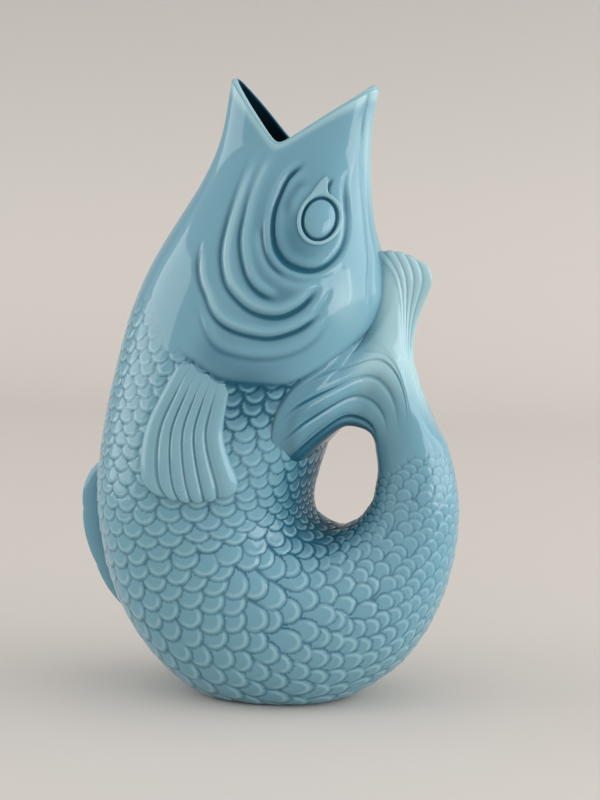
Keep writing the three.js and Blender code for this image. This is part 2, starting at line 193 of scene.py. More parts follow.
CHEEK_STROKES = (
    # Eye socket, from above the eye round its front, below it and up its back
    Stroke(
        ((26, 260), (18.6, 254), (15.3, 247.2), (13.3, 240.4), (12.6, 233.6), (13.3, 226.8),
         (15.3, 220.5), (19.4, 215.1), (24.9, 212), (31.4, 210.7), (37.5, 212.6), (42.2, 217.5),
         (44.6, 224.2), (44.8, 233.3), (43.8, 242.5), (42.5, 250.8), (42.9, 257.2)),
        1.45, 1.15, 0.3, 2.4, 9.0, 9.0, 16.0,
    ),
    # Crisp rim below the socket and in front of it
    Stroke(
        ((44.5, 216.4), (40.4, 211), (34.4, 208), (26.8, 208.2), (19.4, 211.4), (14.2, 216.9), (11.1, 223),
         (9.9, 231.3), (10.4, 240.3), (12.7, 249.6), (17, 256.8), (23.6, 261.6)),
        -0.85, 1.35, groove_start=9.0, end=9.0,
    ),
    # Second, shallow groove outside that rim, and the soft fold beyond it
    Stroke(((7.8, 233), (8.6, 224.5), (11.2, 216.6), (15.9, 211), (22.5, 207)), 0.7, 1.0),
    Stroke(
        ((5.6, 232), (6.4, 224), (9.2, 216), (13.6, 210), (20, 205.4), (26.9, 203.5), (34.5, 204.3),
         (39.7, 207)),
        -0.75, 2.3, groove_start=10.0, end=10.0,
    ),
    # Swelling at the back of the socket and hollow at its front
    Stroke(((42.3, 239), (42.7, 228.8), (41, 221.2), (36, 215.8)), -0.65, 1.7, groove_start=5.0),
    Stroke(((26.7, 253.1), (21.3, 248.1), (18.3, 241.3), (17.7, 233.6)), 0.55, 2.0, 0.3, 2.0),
    # Dark line beside the point of the eyelid
    Stroke(((37.6, 253), (36.6, 250), (35.9, 247), (36.6, 243.9)), 1.1, 0.85, groove_start=2.5, end=0.5),
    # Folds that fall from the corner of the mouth and turn into gill arcs
    Stroke(
        ((7, 268.5), (3.4, 259.5), (0.3, 250.7), (-1.5, 242.4), (-2.4, 234.3), (-2.9, 226.6), (-1.4, 217.6),
         (2.3, 207.7), (7.5, 201.5), (13.1, 198.4), (18.5, 197)),
        1.1, 1.3, 1.0, 1.9, 45.0, 14.0, 9.0,
    ),
    Stroke(
        ((3.5, 270.5), (-3.3, 259), (-8.1, 242.3), (-10.2, 232.3), (-11.4, 222.8), (-10.9, 214.2),
         (-8, 204.8), (-3.2, 198.6), (3.3, 193.3), (10.8, 190.2), (18.8, 189.7), (25.6, 192.4),
         (31.4, 197.3), (36.2, 204.5)),
        1.3, 1.3, 1.15, 2.2, 55.0, 26.0, 10.0,
    ),
    Stroke(
        ((-21.1, 226), (-22.8, 213.8), (-20.5, 204), (-17.4, 198.2), (-13.3, 190.4), (-6.7, 184.9),
         (1, 181.9), (9.3, 180.2), (16.8, 180.1), (26.5, 183.2), (33.5, 188), (39.5, 193.2)),
        1.3, 1.2, 0.95, 2.0, 15.0, 15.0, 12.0,
    ),
    Stroke(
        ((-23.3, 200.2), (-17.5, 185.1), (-10.1, 175), (1.3, 171.2), (10.7, 170.2), (21.4, 171.4),
         (30, 175.5), (35.7, 181.2), (40.2, 189.9)),
        0.45, 1.2, 0.3, 2.2, 16.0, 16.0, 10.0,
    ),
    # Short line between the ends of two arcs
    Stroke(((32.3, 189), (37.9, 196.1), (40.6, 203.8)), 0.5, 1.1, 0.4, 1.8, 4.0, 4.0, 5.0),
    # Crease down the side of the flat forehead
    Stroke(
        ((52.3, 296), (50.6, 286.3), (48.9, 277.5), (48.5, 262.6), (50, 245), (52.8, 224), (54.6, 212),
         (54.2, 196.5), (52.4, 190)),
        0.65, 0.8, 0.35, 1.6, 4.0, 4.0, 9.0,
    ),
)
# Distance past which a stroke has no effect
STROKE_REACH = 12.0
# Glaze depth for each millimetre of groove and ridge, and the most that lines and places add up to
GROOVE_GLAZE = 0.55
RIDGE_GLAZE = 0.7
DEEPEST_LINE = 1.0
# Lower edge of the gill cover, from the belly to the back
GILL_EDGE = (
    (-34, 182.5), (-25.4, 172.9), (-17.6, 167.3), (-10.3, 162.9), (-2.3, 160.3), (5.8, 159.4),
    (14.4, 158.8), (24, 160), (40, 170), (60, 188),
)
# How far the gill cover stands out, over what distances from that edge it rises and slopes off again,
# and the lengths along the edge between which it begins
GILL_STEP = 1.2
GILL_RISE = (-2.2, 1.8)
GILL_SLOPE = (1.0, 22.0)
GILL_START = (4, 22)
# Painted shadow below that edge: its depth, place and width
GILL_SHADOW = 0.5
GILL_LINE = -1.4
GILL_LINE_WIDTH = 1.6
# Where the scales begin: they fade in on the belly and stop at the gill cover
SCALE_START = (
    (-110, 222), (-66, 213), (-51, 206), (-41.2, 195.6), (-36, 184), (-30, 176.5), *GILL_EDGE[2:],
)
# Length over which they fade in, by the length along that line
SCALE_FADE = ((60, 26), (95, 14), (110, 2))
# How far before that line they begin
SCALE_LEAD = 0.2
# Where they end on the tail, over what length they fade there, and over how much of a station at its end
TAIL_SCALE_END = ((55, 113), (62, 116), (70, 121.5), (78, 127), (100, 133))
TAIL_SCALE_FADE = 5
TAIL_END_FADE = 0.3

# Tail fin: its rib lines from the tail's end to the free edge, and the crease where it lies on the body
FIN_GUIDES = (
    ((55, 123), (52.8, 131.4), (45, 134.2), (38.2, 132.4), (28.9, 123.6), (23.4, 118), (17, 114.2)),
    ((73, 124.6), (71.4, 152.5), (61.4, 167.3), (49.4, 166), (36.7, 162), (24, 155), (9, 139)),
    ((83, 125.5), (74, 151.5), (69.8, 171.5), (68.6, 186.2), (66.5, 200.2), (61, 211), (53, 217.5)),
    ((89, 126), (80.8, 139.5), (74, 156.6), (72.6, 173.3), (75.8, 189.1), (81, 202.5), (79, 211.4)),
)
FIN_CREASE = (
    (60, 224), (58.9, 211.7), (56.9, 195.5), (50.5, 181), (41, 172), (34, 166.2), (24, 158.4), (17.7, 149.8),
    (14.4, 143), (11.8, 132), (12, 124), (14, 117.6), (17, 112), (24, 106),
)
# Width of the bevel beside the crease, by the share of the way along it
FIN_BAND = ((0, 9), (0.12, 9), (0.3, 7), (0.44, 4.6), (0.56, 3.2), (0.7, 3), (1, 3))
# How far outside the crease that bevel begins, and the rounding at its top as a share of its width
FIN_BAND_LEAD = 0.6
FIN_BAND_ROUNDING = 0.12
# Where it lies on the body: how far it stands out, how deep its edge is sunk, and how softly it comes down
FIN_RELIEF = 3.4
FIN_SUNK = 2.5
FIN_MEETING = 2.5
# Half its thickness at the root, at the tip and where it spreads on to the body
FIN_CORE = 17.0
FIN_TIP = 16.0
FIN_SPREAD = 42.0
# What the bevel takes off that, the share that the back loses for each guide number, and the tip's bulge
FIN_BEVEL = 4.5
FIN_TILT = 0.34
FIN_BULGE = 3.0
# Powers of its section past the root, towards the finger hole and towards the back
FIN_HOLE_POWER = 4.5
FIN_BACK_POWER = 1.5
# Power that rounds off its free end
FIN_END_POWER = 40
# Shares of its length over which these come in
FIN_POWER_SPAN = (0, 0.28)
FIN_TIP_SPAN = (0.15, 1.0)
FIN_SPREAD_SPAN = (0.3, 0.85)
FIN_BEVEL_SPAN = (0.2, 0.5)
FIN_TILT_SPAN = (0.04, 0.3)
FIN_BULGE_SPAN = (0.8, 1)
# Guide numbers at which the part over the finger hole turns into the upper fin, and from which the back thins
FIN_UPPER = (0.6, 1.5)
FIN_TILT_START = 1.5
# Half widths of the body over which the bevel comes to reach down to it
FIN_LANDING = (3, 16)
FIN_ROWS = 250
FIN_COLUMNS = 380
# Rib grooves across the tail fin, in guide numbers, how deep ribs are there, and how sharp the grooves
FIN_GROOVES = (-0.17, 0.17, 0.47, 0.76, 1.0, 1.28, 2.0, 2.2, 2.4, 2.6, 2.8, 3.2)
FIN_RIB_DEPTH = (
    (0, 1), (0.8, 1), (1.0, 0.7), (1.2, 0.3), (1.4, 0.1), (1.9, 0.1), (2.1, 0.45), (2.8, 0.45), (3, 0.1),
)
FIN_SHARPNESS = 4.5
# Share of the tail fin's length over which its skin bends out of the tail's
FIN_BLEND = 0.06
# Ribs begin over these shares of the length and these distances from the crease, or these guide numbers
FIN_RIB_START = (FIN_BLEND, 0.25)
FIN_RIB_CREASE = (3, 9)
FIN_RIB_UPPER = (1.5, 2.0)
# Lobe on the body: guide numbers at its edge, shares of the length at its start and at the end of its ribs,
# and the share of their depth that they lose there
FIN_LOBE_EDGE = (1.2, 2.0)
FIN_LOBE_START = (0.35, 0.7)
FIN_LOBE_END = (0.62, 0.95)
FIN_LOBE_LOSS = 0.95
# Painted shade on the lobe, and painted light that pales the rest, over these guide numbers, shares of the
# length and distances from the crease
FIN_LOBE_SHADE = 0.45
FIN_PAINTED_LIGHT = 1.05
FIN_LIGHT_ACROSS = (0.3, 1.1)
FIN_LIGHT_ALONG = (0.02, 0.4)
FIN_LIGHT_CREASE = (-4, 6)
# Guide numbers over which the pooled glaze and painted shade of the finger hole end
FIN_HOLE_SHADE_END = (0, 0.3)

# Sides of the fish, as the sign of y and a name
SIDES = ((-1, "left"), (1, "right"))

# Pectoral fins: front and back edges from root to free end, rib grooves as shares across, and their sharpness
PECTORAL_FRONT = ((-25.5, 173), (-36, 155), (-43.5, 140), (-46.4, 126), (-45.6, 114), (-40, 108.5))
PECTORAL_BACK = ((-2.3, 161), (-5, 146), (-6, 134), (-3, 122), (-0.4, 114), (-1.4, 108.5))
PECTORAL_GROOVES = (0, 0.22, 0.36, 0.5, 0.64, 0.78, 1.0)
PECTORAL_SHARPNESS = 3.6
# Rounding of the free end, depth of the scallops there, and the shares of the length over which they come in
PECTORAL_BULGE = 4.5
PECTORAL_SCALLOP = 1.3
PECTORAL_BULGE_SPAN = (0.55, 1.0)
# Share of the height at the root, and where it grows to the whole
PECTORAL_ROOT_HEIGHT = 0.25
PECTORAL_RISE = (0.0, 0.9)
# Step at the root: the share of that height which is left there, and where it ends
PECTORAL_STEP = 0.35
PECTORAL_STEP_SPAN = (0, 0.16)
# Powers that round off the long edges and the free end
PECTORAL_EDGE_POWER = 9
PECTORAL_END_POWER = 26
# How deep the edges and the hidden back are sunk
PECTORAL_SUNK = 1.2
PECTORAL_BACK_SUNK = 1.4
# Where the ribs begin, and the glaze depth
PECTORAL_RIB_START = (0.02, 0.3)
PECTORAL_GLAZE = -0.3
PECTORAL_ROWS = 150
PECTORAL_COLUMNS = 190
PECTORAL_BACK_COLUMNS = 16

# Belly fin: the stations between which it lies, and shares of its length just inside its ends
BELLY_FIN_SPAN = (10.45, 13.65)
BELLY_FIN_ENDS = (0.004, 0.996)
# Powers that make its outline lean and fill out, and round its edge
BELLY_FIN_LEAN = 0.8
BELLY_FIN_FULLNESS = 0.55
BELLY_FIN_EDGE = 0.7
# Scallops: how many, how deep as a share of the height, and the power that fills them out
BELLY_FIN_SCALLOPS = 3
SCALLOP_DEPTH = 0.07
SCALLOP_FULLNESS = 0.6
# Half its thickness at the foot, what it loses towards the edge, and half the width of its hidden back
BELLY_FIN_FOOT = 3.4
BELLY_FIN_TAPER = 1.6
BELLY_FIN_BACK = 3.0
# How deep its foot and its hidden back are sunk
BELLY_FIN_SUNK = 1.5
BELLY_FIN_BACK_SUNK = 2.5
# Painted shade over it, the pooled glaze and painted shade at its foot, and the depth on the hidden back
BELLY_FIN_SHADE = 0.2
BELLY_FIN_FOOT_SHADE = 0.7
BELLY_FIN_BACK_GLAZE = 0.3
BELLY_FIN_ROWS = 220
BELLY_FIN_COLUMNS = 48

# Eyes: the eyeball's middle and half sizes, and the turn at which its innermost ring lies
EYE_PLACE = (33.4, 234.0)
EYE_HALF_WIDTH = 6.7
EYE_HALF_HEIGHT = 8.9
EYE_INNERMOST = 0.02
# How deep its edge and its hidden base are sunk
EYE_EDGE_SUNK = 0.1
EYE_SUNK = 1.5
# Glaze depths on it and at its edge, and the share of its radius at which that begins
EYE_GLAZE = -0.12
EYE_EDGE_GLAZE = 0.45
EYE_EDGE_START = 0.93
EYE_ROWS = 40
EYE_COLUMNS = 96
# Gap between eyeball and lid, and the groove there: its width, depth and glaze depth
LID_GAP = 1.2
EYE_GROOVE_WIDTH = 0.8
EYE_GROOVE = 0.9
EYE_GROOVE_GLAZE = 1.2
# Lid: its sizes, the power that rounds it, how deep it is sunk, and its glaze depths above a height and below
LID_WIDTH = 1.9
LID_HEIGHT = 1.1
LID_FULLNESS = 0.7
LID_SUNK = 1.4
LID_TOP_START = 0.5
LID_TOP_GLAZE = -0.5
LID_SIDE_GLAZE = 0.2
LID_STEPS = 200
LID_PROFILE = 18
# Point at its top: how far it is drawn out and leans, and the powers that sharpen it behind and in front
TEAR_LENGTH = 8.0
TEAR_LEAN = 1.6
TEAR_BACK_POWER = 60
TEAR_FRONT_POWER = 11

# Stage: the floor's ends, the height of the sweep between floor and wall, and the wall's top
FLOOR_FRONT = -2500.0
FLOOR_BACK = 900.0
SWEEP_HEIGHT = 500.0
WALL_TOP = 3000.0
BACKDROP_HALF_WIDTH = 3000.0
SWEEP_ROWS = 24
PAPER_ROUGHNESS = 0.9
SKY_COLOUR = (0.97, 0.97, 0.97, 1.0)
SKY_STRENGTH = 0.8
# Soft lights: name, turn towards the tail and angle above level in degrees, distance, size and power
SOFTBOXES = (
    ("window", 67, 9, 2.0, (1.0, 0.9), 11),
    ("left_panel", -80, 10, 1.8, (1.5, 1.5), 17),
    ("right_panel", 104, 10, 1.7, (1.7, 1.9), 24),
)
# Points that the lights and the camera look at, in metres, and the camera's sensor in millimetres
LIGHT_TARGET = (0, 0, 0.15)
CAMERA_TARGET = (0.017, 0, 0.145)
SENSOR_WIDTH = 36

# Sums on arrays


def smooth_step(value, low, high):
    share = np.clip((value - low) / (high - low), 0, 1)
    return share * share * (3 - 2 * share)


def smooth_max(a, b, blend):
    return (a + b + np.hypot(a - b, blend)) / 2


def signed_power(value, power):
    return np.sign(value) * np.abs(value) ** power


def rounded_off(share, power):
    """From 1 down to 0 where a share gets to 1, the later the higher the power."""
    return np.clip(1 - share**power, 0, 1) ** (1 / 3)


def bell(distance, width):
    return np.exp(-((distance / width) ** 2))


def unit(vectors):
    return vectors / np.maximum(np.linalg.norm(vectors, axis=-1, keepdims=True), 1e-9)


def lengths_along(path):
    """The length along a path to each of its points [x, z]."""
    return np.concatenate([[0], np.cumsum(np.hypot(*np.diff(path, axis=0).T))])


def ring_normals(rings):
    """Outward normals of rings of points, closed round their columns."""
    down = np.gradient(rings, axis=0)
    around = np.roll(rings, -1, axis=1) - np.roll(rings, 1, axis=1)
    normals = unit(np.cross(around, down))
    outward = np.sum(normals * (rings - rings.mean(axis=1, keepdims=True))) > 0
    return normals if outward else -normals


def spline_through(values, places):
    """Natural cubic spline through values held at 0, 1, 2 and so on."""
    values = np.asarray(values, float)
    count = len(values)
    matrix = np.eye(count)
    bend = np.zeros_like(values)
    for i in range(1, count - 1):
        matrix[i, i - 1 : i + 2] = 1, 4, 1
        bend[i] = 6 * (values[i + 1] - 2 * values[i] + values[i - 1])
    second = np.linalg.solve(matrix, bend)
    places = np.asarray(places, float)
    low = np.clip(np.floor(places).astype(int), 0, count - 2)
    after = (places - low)[..., None]
    before = 1 - after
    straight = before * values[low] + after * values[low + 1]
    return straight + ((before**3 - before) * second[low] + (after**3 - after) * second[low + 1]) / 6


def fine_line(places, count=LINE_POINTS):
    return spline_through(places, np.linspace(0, len(places) - 1, count))


def along_line(places, line):
    """For places [x, z]: the distance from a line, positive on its left, and the length along it to there.

    The whole length of the line comes last.
    """
    nearest = np.full(len(places), np.inf)
    side = np.ones(len(places))
    along = np.zeros(len(places))
    before = 0.0
    for start, step in zip(line[:-1], np.diff(line, axis=0)):
        length = np.hypot(*step)
        apart = places - start
        share = np.clip(apart @ step / length**2, 0, 1)
        distance = np.hypot(apart[:, 0] - share * step[0], apart[:, 1] - share * step[1])
        closer = distance < nearest
        nearest[closer] = distance[closer]
        turn = step[0] * apart[:, 1] - step[1] * apart[:, 0]
        side[closer] = np.where(turn[closer] < 0, -1, 1)
        along[closer] = before + share[closer] * length
        before += length
    return nearest * side, along, before


# The trunk


class Sections(NamedTuple):
    """Sections across the trunk: centres and the way out to the belly as [x, z], and half sizes."""

    centre: np.ndarray
    outward: np.ndarray
    reach: np.ndarray
    half: np.ndarray


def sections_at(stations):
    found = spline_through(STATIONS, stations)
    outer = found[:, 0:2]
    inner = found[:, 2:4]
    reach = np.hypot(*(outer - inner).T) / 2
    return Sections((outer + inner) / 2, (outer - inner) / (2 * reach[:, None]), reach, found[:, 4])


def line_through(stations, share):
    """A line [x, z] along the trunk, at a share of the way from its inner to its outer line."""
    found = spline_through(STATIONS, stations)
    return share * found[:, 0:2] + (1 - share) * found[:, 2:4]


def table_stations():
    return np.arange(0, TAIL_END + TABLE_STEP / 2, TABLE_STEP)


class Skin(NamedTuple):
    """The trunk's skin as a table: a row for each small step of station, a column for each share of girth."""

    points: np.ndarray
    normals: np.ndarray

    def at(self, stations):
        """Points and normals for an array of stations with one column for each column of the table."""
        place = np.clip(stations / TABLE_STEP, 0, len(self.points) - SHORT_OF_LAST)
        low = np.floor(place).astype(int)
        after = (place - low)[..., None]
        column = np.arange(COLUMNS)[None, :]
        points = self.points[low, column] * (1 - after) + self.points[low + 1, column] * after
        normals = self.normals[low, column] * (1 - after) + self.normals[low + 1, column] * after
        return points, unit(normals)


@functools.cache
def trunk_skin():
    stations = table_stations()
    sections = sections_at(stations)
    turn = np.linspace(0, np.pi, HALF_SECTION_POINTS)
    along = signed_power(np.cos(turn), 2 / SECTION_POWER)
    across = np.sin(turn).clip(0) ** (2 / SECTION_POWER)
    girth = np.arange(COLUMNS) / COLUMNS
    fold = 1 - np.abs(2 * girth - 1)
    side = np.where(girth < 0.5, -1.0, 1.0)
    points = np.empty((len(stations), COLUMNS, 3))
    for i, (reach, half) in enumerate(zip(sections.reach, sections.half)):
        length = lengths_along(np.stack([reach * along, half * across], 1))
        out = np.interp(fold, length / length[-1], reach * along)
        points[i, :, 0] = sections.centre[i, 0] + sections.outward[i, 0] * out
        points[i, :, 1] = side * np.interp(fold, length / length[-1], half * across)
        points[i, :, 2] = sections.centre[i, 1] + sections.outward[i, 1] * out
    points[..., 2] = smooth_max(points[..., 2], 0, FOOT_ROUNDING)
    return Skin(points, ring_normals(points))


def flank(places):
    """Half the trunk's width at places [x, z] seen from the side; 0 beside the trunk."""
    stations = np.linspace(0, FLANK_END, FLANK_ROWS)
    sections = sections_at(stations)
    onward = np.stack([-sections.outward[:, 1], sections.outward[:, 0]], 1)
    offset = (sections.centre * onward).sum(1)
    widths = np.zeros(len(places))
    for start in range(0, len(places), PLACES_AT_ONCE):
        part = places[start : start + PLACES_AT_ONCE]
        ahead = part @ onward.T - offset
        row, i = np.nonzero((ahead[:, :-1] >= 0) & (ahead[:, 1:] < 0))
        share = ahead[row, i] / (ahead[row, i] - ahead[row, i + 1])
        at = sections_at(stations[i] + share * (stations[1] - stations[0]))
        along = np.abs(((part[row] - at.centre) * at.outward).sum(1)) / at.reach
        depth = at.half * np.clip(1 - along**SECTION_POWER, 0, 1) ** (1 / SECTION_POWER)
        np.maximum.at(widths, start + row, depth)
    return widths


def on_flank(places, lift, side):
    """Points lifted square off the trunk's flank at places [x, z]; side is -1 for the fish's left."""
    nudge = 0.5
    width = flank(places)
    slope_x = (flank(places + [nudge, 0]) - flank(places - [nudge, 0])) / (2 * nudge)
    slope_z = (flank(places + [0, nudge]) - flank(places - [0, nudge])) / (2 * nudge)
    normal = unit(np.stack([-slope_x, np.ones(len(places)), -slope_z], 1))
    points = np.stack([places[:, 0], width, places[:, 1]], 1) + normal * np.reshape(lift, (-1, 1))
    return points * [1, side, 1], normal * [1, side, 1]


def mouth_rim(x):
    along = x - MOUTH_CORNER[0]
    jaws = MOUTH_CORNER[1] + smooth_max(-along * LOWER_JAW_SLOPE, along * UPPER_JAW_SLOPE, CORNER_ROUNDING)
    return -smooth_max(-jaws, -JAW_TOP, JAW_ROUNDING)


def rim_stations():
    """The station at which each column of the head reaches the rim of the mouth."""
    skin = trunk_skin()
    top = skin.points[: int(NECK / 2 / TABLE_STEP)]
    above = top[..., 2] - mouth_rim(top[..., 0])
    low = len(top) - 1 - np.argmax(above[::-1] > 0, axis=0)
    column = np.arange(COLUMNS)
    share = above[low, column] / (above[low, column] - above[low + 1, column])
    return (low + share) * TABLE_STEP


def cheek_relief(places):
    """Height and glaze depth of the lines and folds on the cheeks, and of the gill cover, with painted shadow
    below it.
    """
    height = np.zeros(len(places))
    glaze = np.zeros(len(places))
    for stroke in CHEEK_STROKES:
        line = fine_line(stroke.places)
        near = np.all((places > line.min(0) - STROKE_REACH) & (places < line.max(0) + STROKE_REACH), axis=1)
        apart, along, length = along_line(places[near], line)
        fade = smooth_step(length - along, 0, stroke.end)
        groove = bell(apart, stroke.groove_width) * fade * smooth_step(along, 0, stroke.groove_start)
        beside = apart - stroke.groove_width - stroke.ridge_width
        ridge = bell(beside, stroke.ridge_width) * fade * smooth_step(along, 0, stroke.ridge_start)
        height[near] += stroke.ridge * ridge - stroke.groove * groove
        glaze[near] += GROOVE_GLAZE * stroke.groove * groove - RIDGE_GLAZE * stroke.ridge * ridge
    gap = bell(eye_ring_distance(places), EYE_GROOVE_WIDTH)
    height -= EYE_GROOVE * gap
    glaze += EYE_GROOVE_GLAZE * gap
    apart, along, _ = along_line(places, fine_line(GILL_EDGE))
    start = smooth_step(along, *GILL_START)
    height += GILL_STEP * start * smooth_step(apart, *GILL_RISE) * (1 - smooth_step(apart, *GILL_SLOPE))
    # Painted shadow under the gill cover's edge
    glaze += GILL_SHADOW * start * bell(apart - GILL_LINE, GILL_LINE_WIDTH)
    return height, glaze


def eye_ring_distance(places):
    """Distance of places [x, z] from the middle of the gap between eyeball and lid."""
    away = (places - EYE_PLACE) / [EYE_HALF_WIDTH + LID_GAP / 2, EYE_HALF_HEIGHT + LID_GAP / 2]
    return (np.hypot(*away.T) - 1) * EYE_HALF_WIDTH


class Scales(NamedTuple):
    """Scales laid on the skin: roots, ways to the tip and across, sizes and sets.

    A scale's sizes are half its width, its length and a number of its own from -1 to 1.
    """

    roots: np.ndarray
    flow: np.ndarray
    aside: np.ndarray
    sizes: np.ndarray
    sets: np.ndarray


def lay_scales(scale_size):
    """Lays staggered rows from head to tail, without scales that would crowd the ones laid before."""
    skin = trunk_skin()
    chance = np.random.default_rng(SCALE_SEED)
    stations = table_stations()
    size_stations, lengths, widths = np.array(SCALE_SIZES).T
    steps = np.hypot(*np.diff(line_through(stations, SCALE_LINE), axis=0).T)
    row_length = scale_size * np.interp(stations[:-1], size_stations, lengths)
    rows = np.concatenate([[0], np.cumsum(steps / row_length)])
    shrink = scale_shrink()
    nudge = 0.05
    laid = []
    roots = np.empty((0, 3))
    for number in range(int(rows[-1])):
        station = np.interp(number, rows, stations).clip(nudge, TAIL_END - nudge)
        ring, normal, before, after = (
            values[0]
            for values in (
                *skin.at(np.full((1, COLUMNS), station)),
                skin.at(np.full((1, COLUMNS), station - nudge))[0],
                skin.at(np.full((1, COLUMNS), station + nudge))[0],
            )
        )
        moved = np.linalg.norm(after - before, axis=1)
        flow = (after - before) / moved[:, None]
        aside = np.cross(normal, flow)
        passed = np.interp(station + nudge, stations, rows) - np.interp(station - nudge, stations, rows)
        width = scale_size * np.interp(station, size_stations, widths) * shrink
        length = scale_size * np.interp(station, size_stations, lengths)
        length = np.maximum(length * shrink, np.minimum(moved / passed, SCALE_STRETCH * length))
        steps = np.linalg.norm(np.roll(ring, -1, axis=0) - ring, axis=1) / width
        around = np.concatenate([[0], np.cumsum(steps)])
        count = 2 * round(around[-1] / 2)
        places = np.arange(count) + 0.5 * (number % 2) + SCALE_STRAY * chance.uniform(-1, 1, count)
        columns = np.interp(places / count * around[-1], around, np.arange(COLUMNS + 1)).astype(int) % COLUMNS
        for column in columns:
            root = ring[column] + flow[column] * length[column] * SCALE_STRAY * chance.uniform(-1, 1)
            axes = np.stack([aside[column], LENGTHWISE_CROWDING * flow[column], normal[column]])
            away = (roots - root) @ axes.T / [width[column], length[column], width[column]]
            if len(roots) and np.linalg.norm(away, axis=1).min() < SCALE_CROWDING:
                continue
            roots = np.concatenate([roots, root[None]])
            size = (width[column] / 2, length[column], chance.uniform(-1, 1))
            laid.append((root, flow[column], aside[column], size))
    return Scales(*(np.array(values) for values in zip(*laid)), sets_apart(roots))


def girth_from_hole():
    """The share of the girth between each column and the line that faces the finger hole."""
    return np.abs(np.arange(COLUMNS) / COLUMNS - 0.5)


def scale_shrink():
    """How much smaller the scales are at each column."""
    return np.interp(girth_from_hole(), *np.array(SCALE_SHRINK).T)


def sets_apart(roots):
    """Deals scales into sets so that those of one set lie far from each other."""
    sets = np.zeros(len(roots), int)
    for i, root in enumerate(roots):
        away = np.linalg.norm(roots[:i] - root, axis=1)
        gaps = [np.min(away[sets[:i] == number], initial=np.inf) for number in range(SCALE_SETS)]
        sets[i] = np.argmax(gaps)
    return sets


def scale_strength(stations, points):
    """From 0 on the head and the fin to 1 where scales stand out fully."""
    apart, along, _ = along_line(points[:, [0, 2]], fine_line(SCALE_START, LONG_LINE_POINTS))
    strength = smooth_step(-apart, -SCALE_LEAD, np.interp(along, *np.array(SCALE_FADE).T))
    end = np.interp(points[:, 0], *np.array(TAIL_SCALE_END).T)
    on_tail = smooth_step(end - points[:, 2], 0, TAIL_SCALE_FADE)
    on_tail = on_tail * smooth_step(TAIL_END - stations, 0, TAIL_END_FADE)
    return np.where(stations > TAIL_ROOT + 1, on_tail, strength)


# Meshes


def tube_faces(rows, columns, loop):
    """Quads of rows of points that close round their columns, and along the rows where loop is set."""
    row = np.arange(rows if loop else rows - 1)[:, None]
    column = np.arange(columns)[None, :]
    next_row = (row + 1) % rows
    next_column = (column + 1) % columns
    corners = (
        row * columns + column,
        row * columns + next_column,
        next_row * columns + next_column,
        next_row * columns + column,
    )
    return np.stack(corners, -1).reshape(-1, 4)


def cap_faces(start, columns, turned):
    """Quads that close a ring by joining each of its points to its mirror image in the ring."""
    point = np.arange(1, columns // 2 - 1)
    quads = np.stack([columns - point, columns - point - 1, point + 1, point], 1)
    first = np.array([[0, columns - 1, 1, 1]])
    last = np.array([[columns // 2 + 1, columns // 2, columns // 2 - 1, columns // 2 - 1]])
    faces = np.concatenate([first, quads, last]) + start
    return faces[:, ::-1] if turned else faces


def closed_tube(rows, columns):
    """Quads of rows of points that close round their columns, with a cap at each end, and which are caps."""
    sides = tube_faces(rows, columns, False)
    caps = [cap_faces(0, columns, False), cap_faces((rows - 1) * columns, columns, True)]
    faces = np.concatenate([sides, *caps])
    return faces, np.arange(len(faces)) >= len(sides)


def mesh_from(name, points, faces, attributes, flat=None):
    """A mesh in metres from points in millimetres; a face with its last two corners alike is a triangle."""
    corner = points[faces]
    first = corner[:, 0]
    volume = np.einsum("ij,ij->", first, np.cross(corner[:, 1], corner[:, 2]))
    volume += np.einsum("ij,ij->", first, np.cross(corner[:, 2], corner[:, 3]))
    if volume < 0:
        faces = faces[:, ::-1]
    keep = np.ones(faces.shape, bool)
    for i in range(4):
        keep[:, i] = faces[:, i] != faces[:, (i + 1) % 4]
    sizes = keep.sum(1)
    mesh = bpy.data.meshes.new(name)
    mesh.vertices.add(len(points))
    mesh.vertices.foreach_set("co", (points * MM).astype(np.float32).ravel())
    mesh.loops.add(int(sizes.sum()))
    mesh.loops.foreach_set("vertex_index", faces[keep].astype(np.int32))
    mesh.polygons.add(len(faces))
    mesh.polygons.foreach_set("loop_start", (np.cumsum(sizes) - sizes).astype(np.int32))
    mesh.update(calc_edges=True)
    mesh.shade_smooth()
    if flat is not None:
        mesh.attributes.new("sharp_face", "BOOLEAN", "FACE").data.foreach_set("value", flat)
    for label, values in attributes.items():
        kind, field = ("FLOAT_VECTOR", "vector") if np.ndim(values) == 2 else ("FLOAT", "value")
        attribute = mesh.attributes.new(label, kind, "POINT")
        attribute.data.foreach_set(field, np.asarray(values, np.float32).ravel())
    return mesh


def add_piece(name, mesh):
    piece = bpy.data.objects.new(name, mesh)
    bpy.context.scene.collection.objects.link(piece)
    return piece


def finish_piece(piece, *nodes):
    """Ties a finished piece to the frame in place of its solids."""
    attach(piece, "root")
    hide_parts(*nodes)


# Node trees


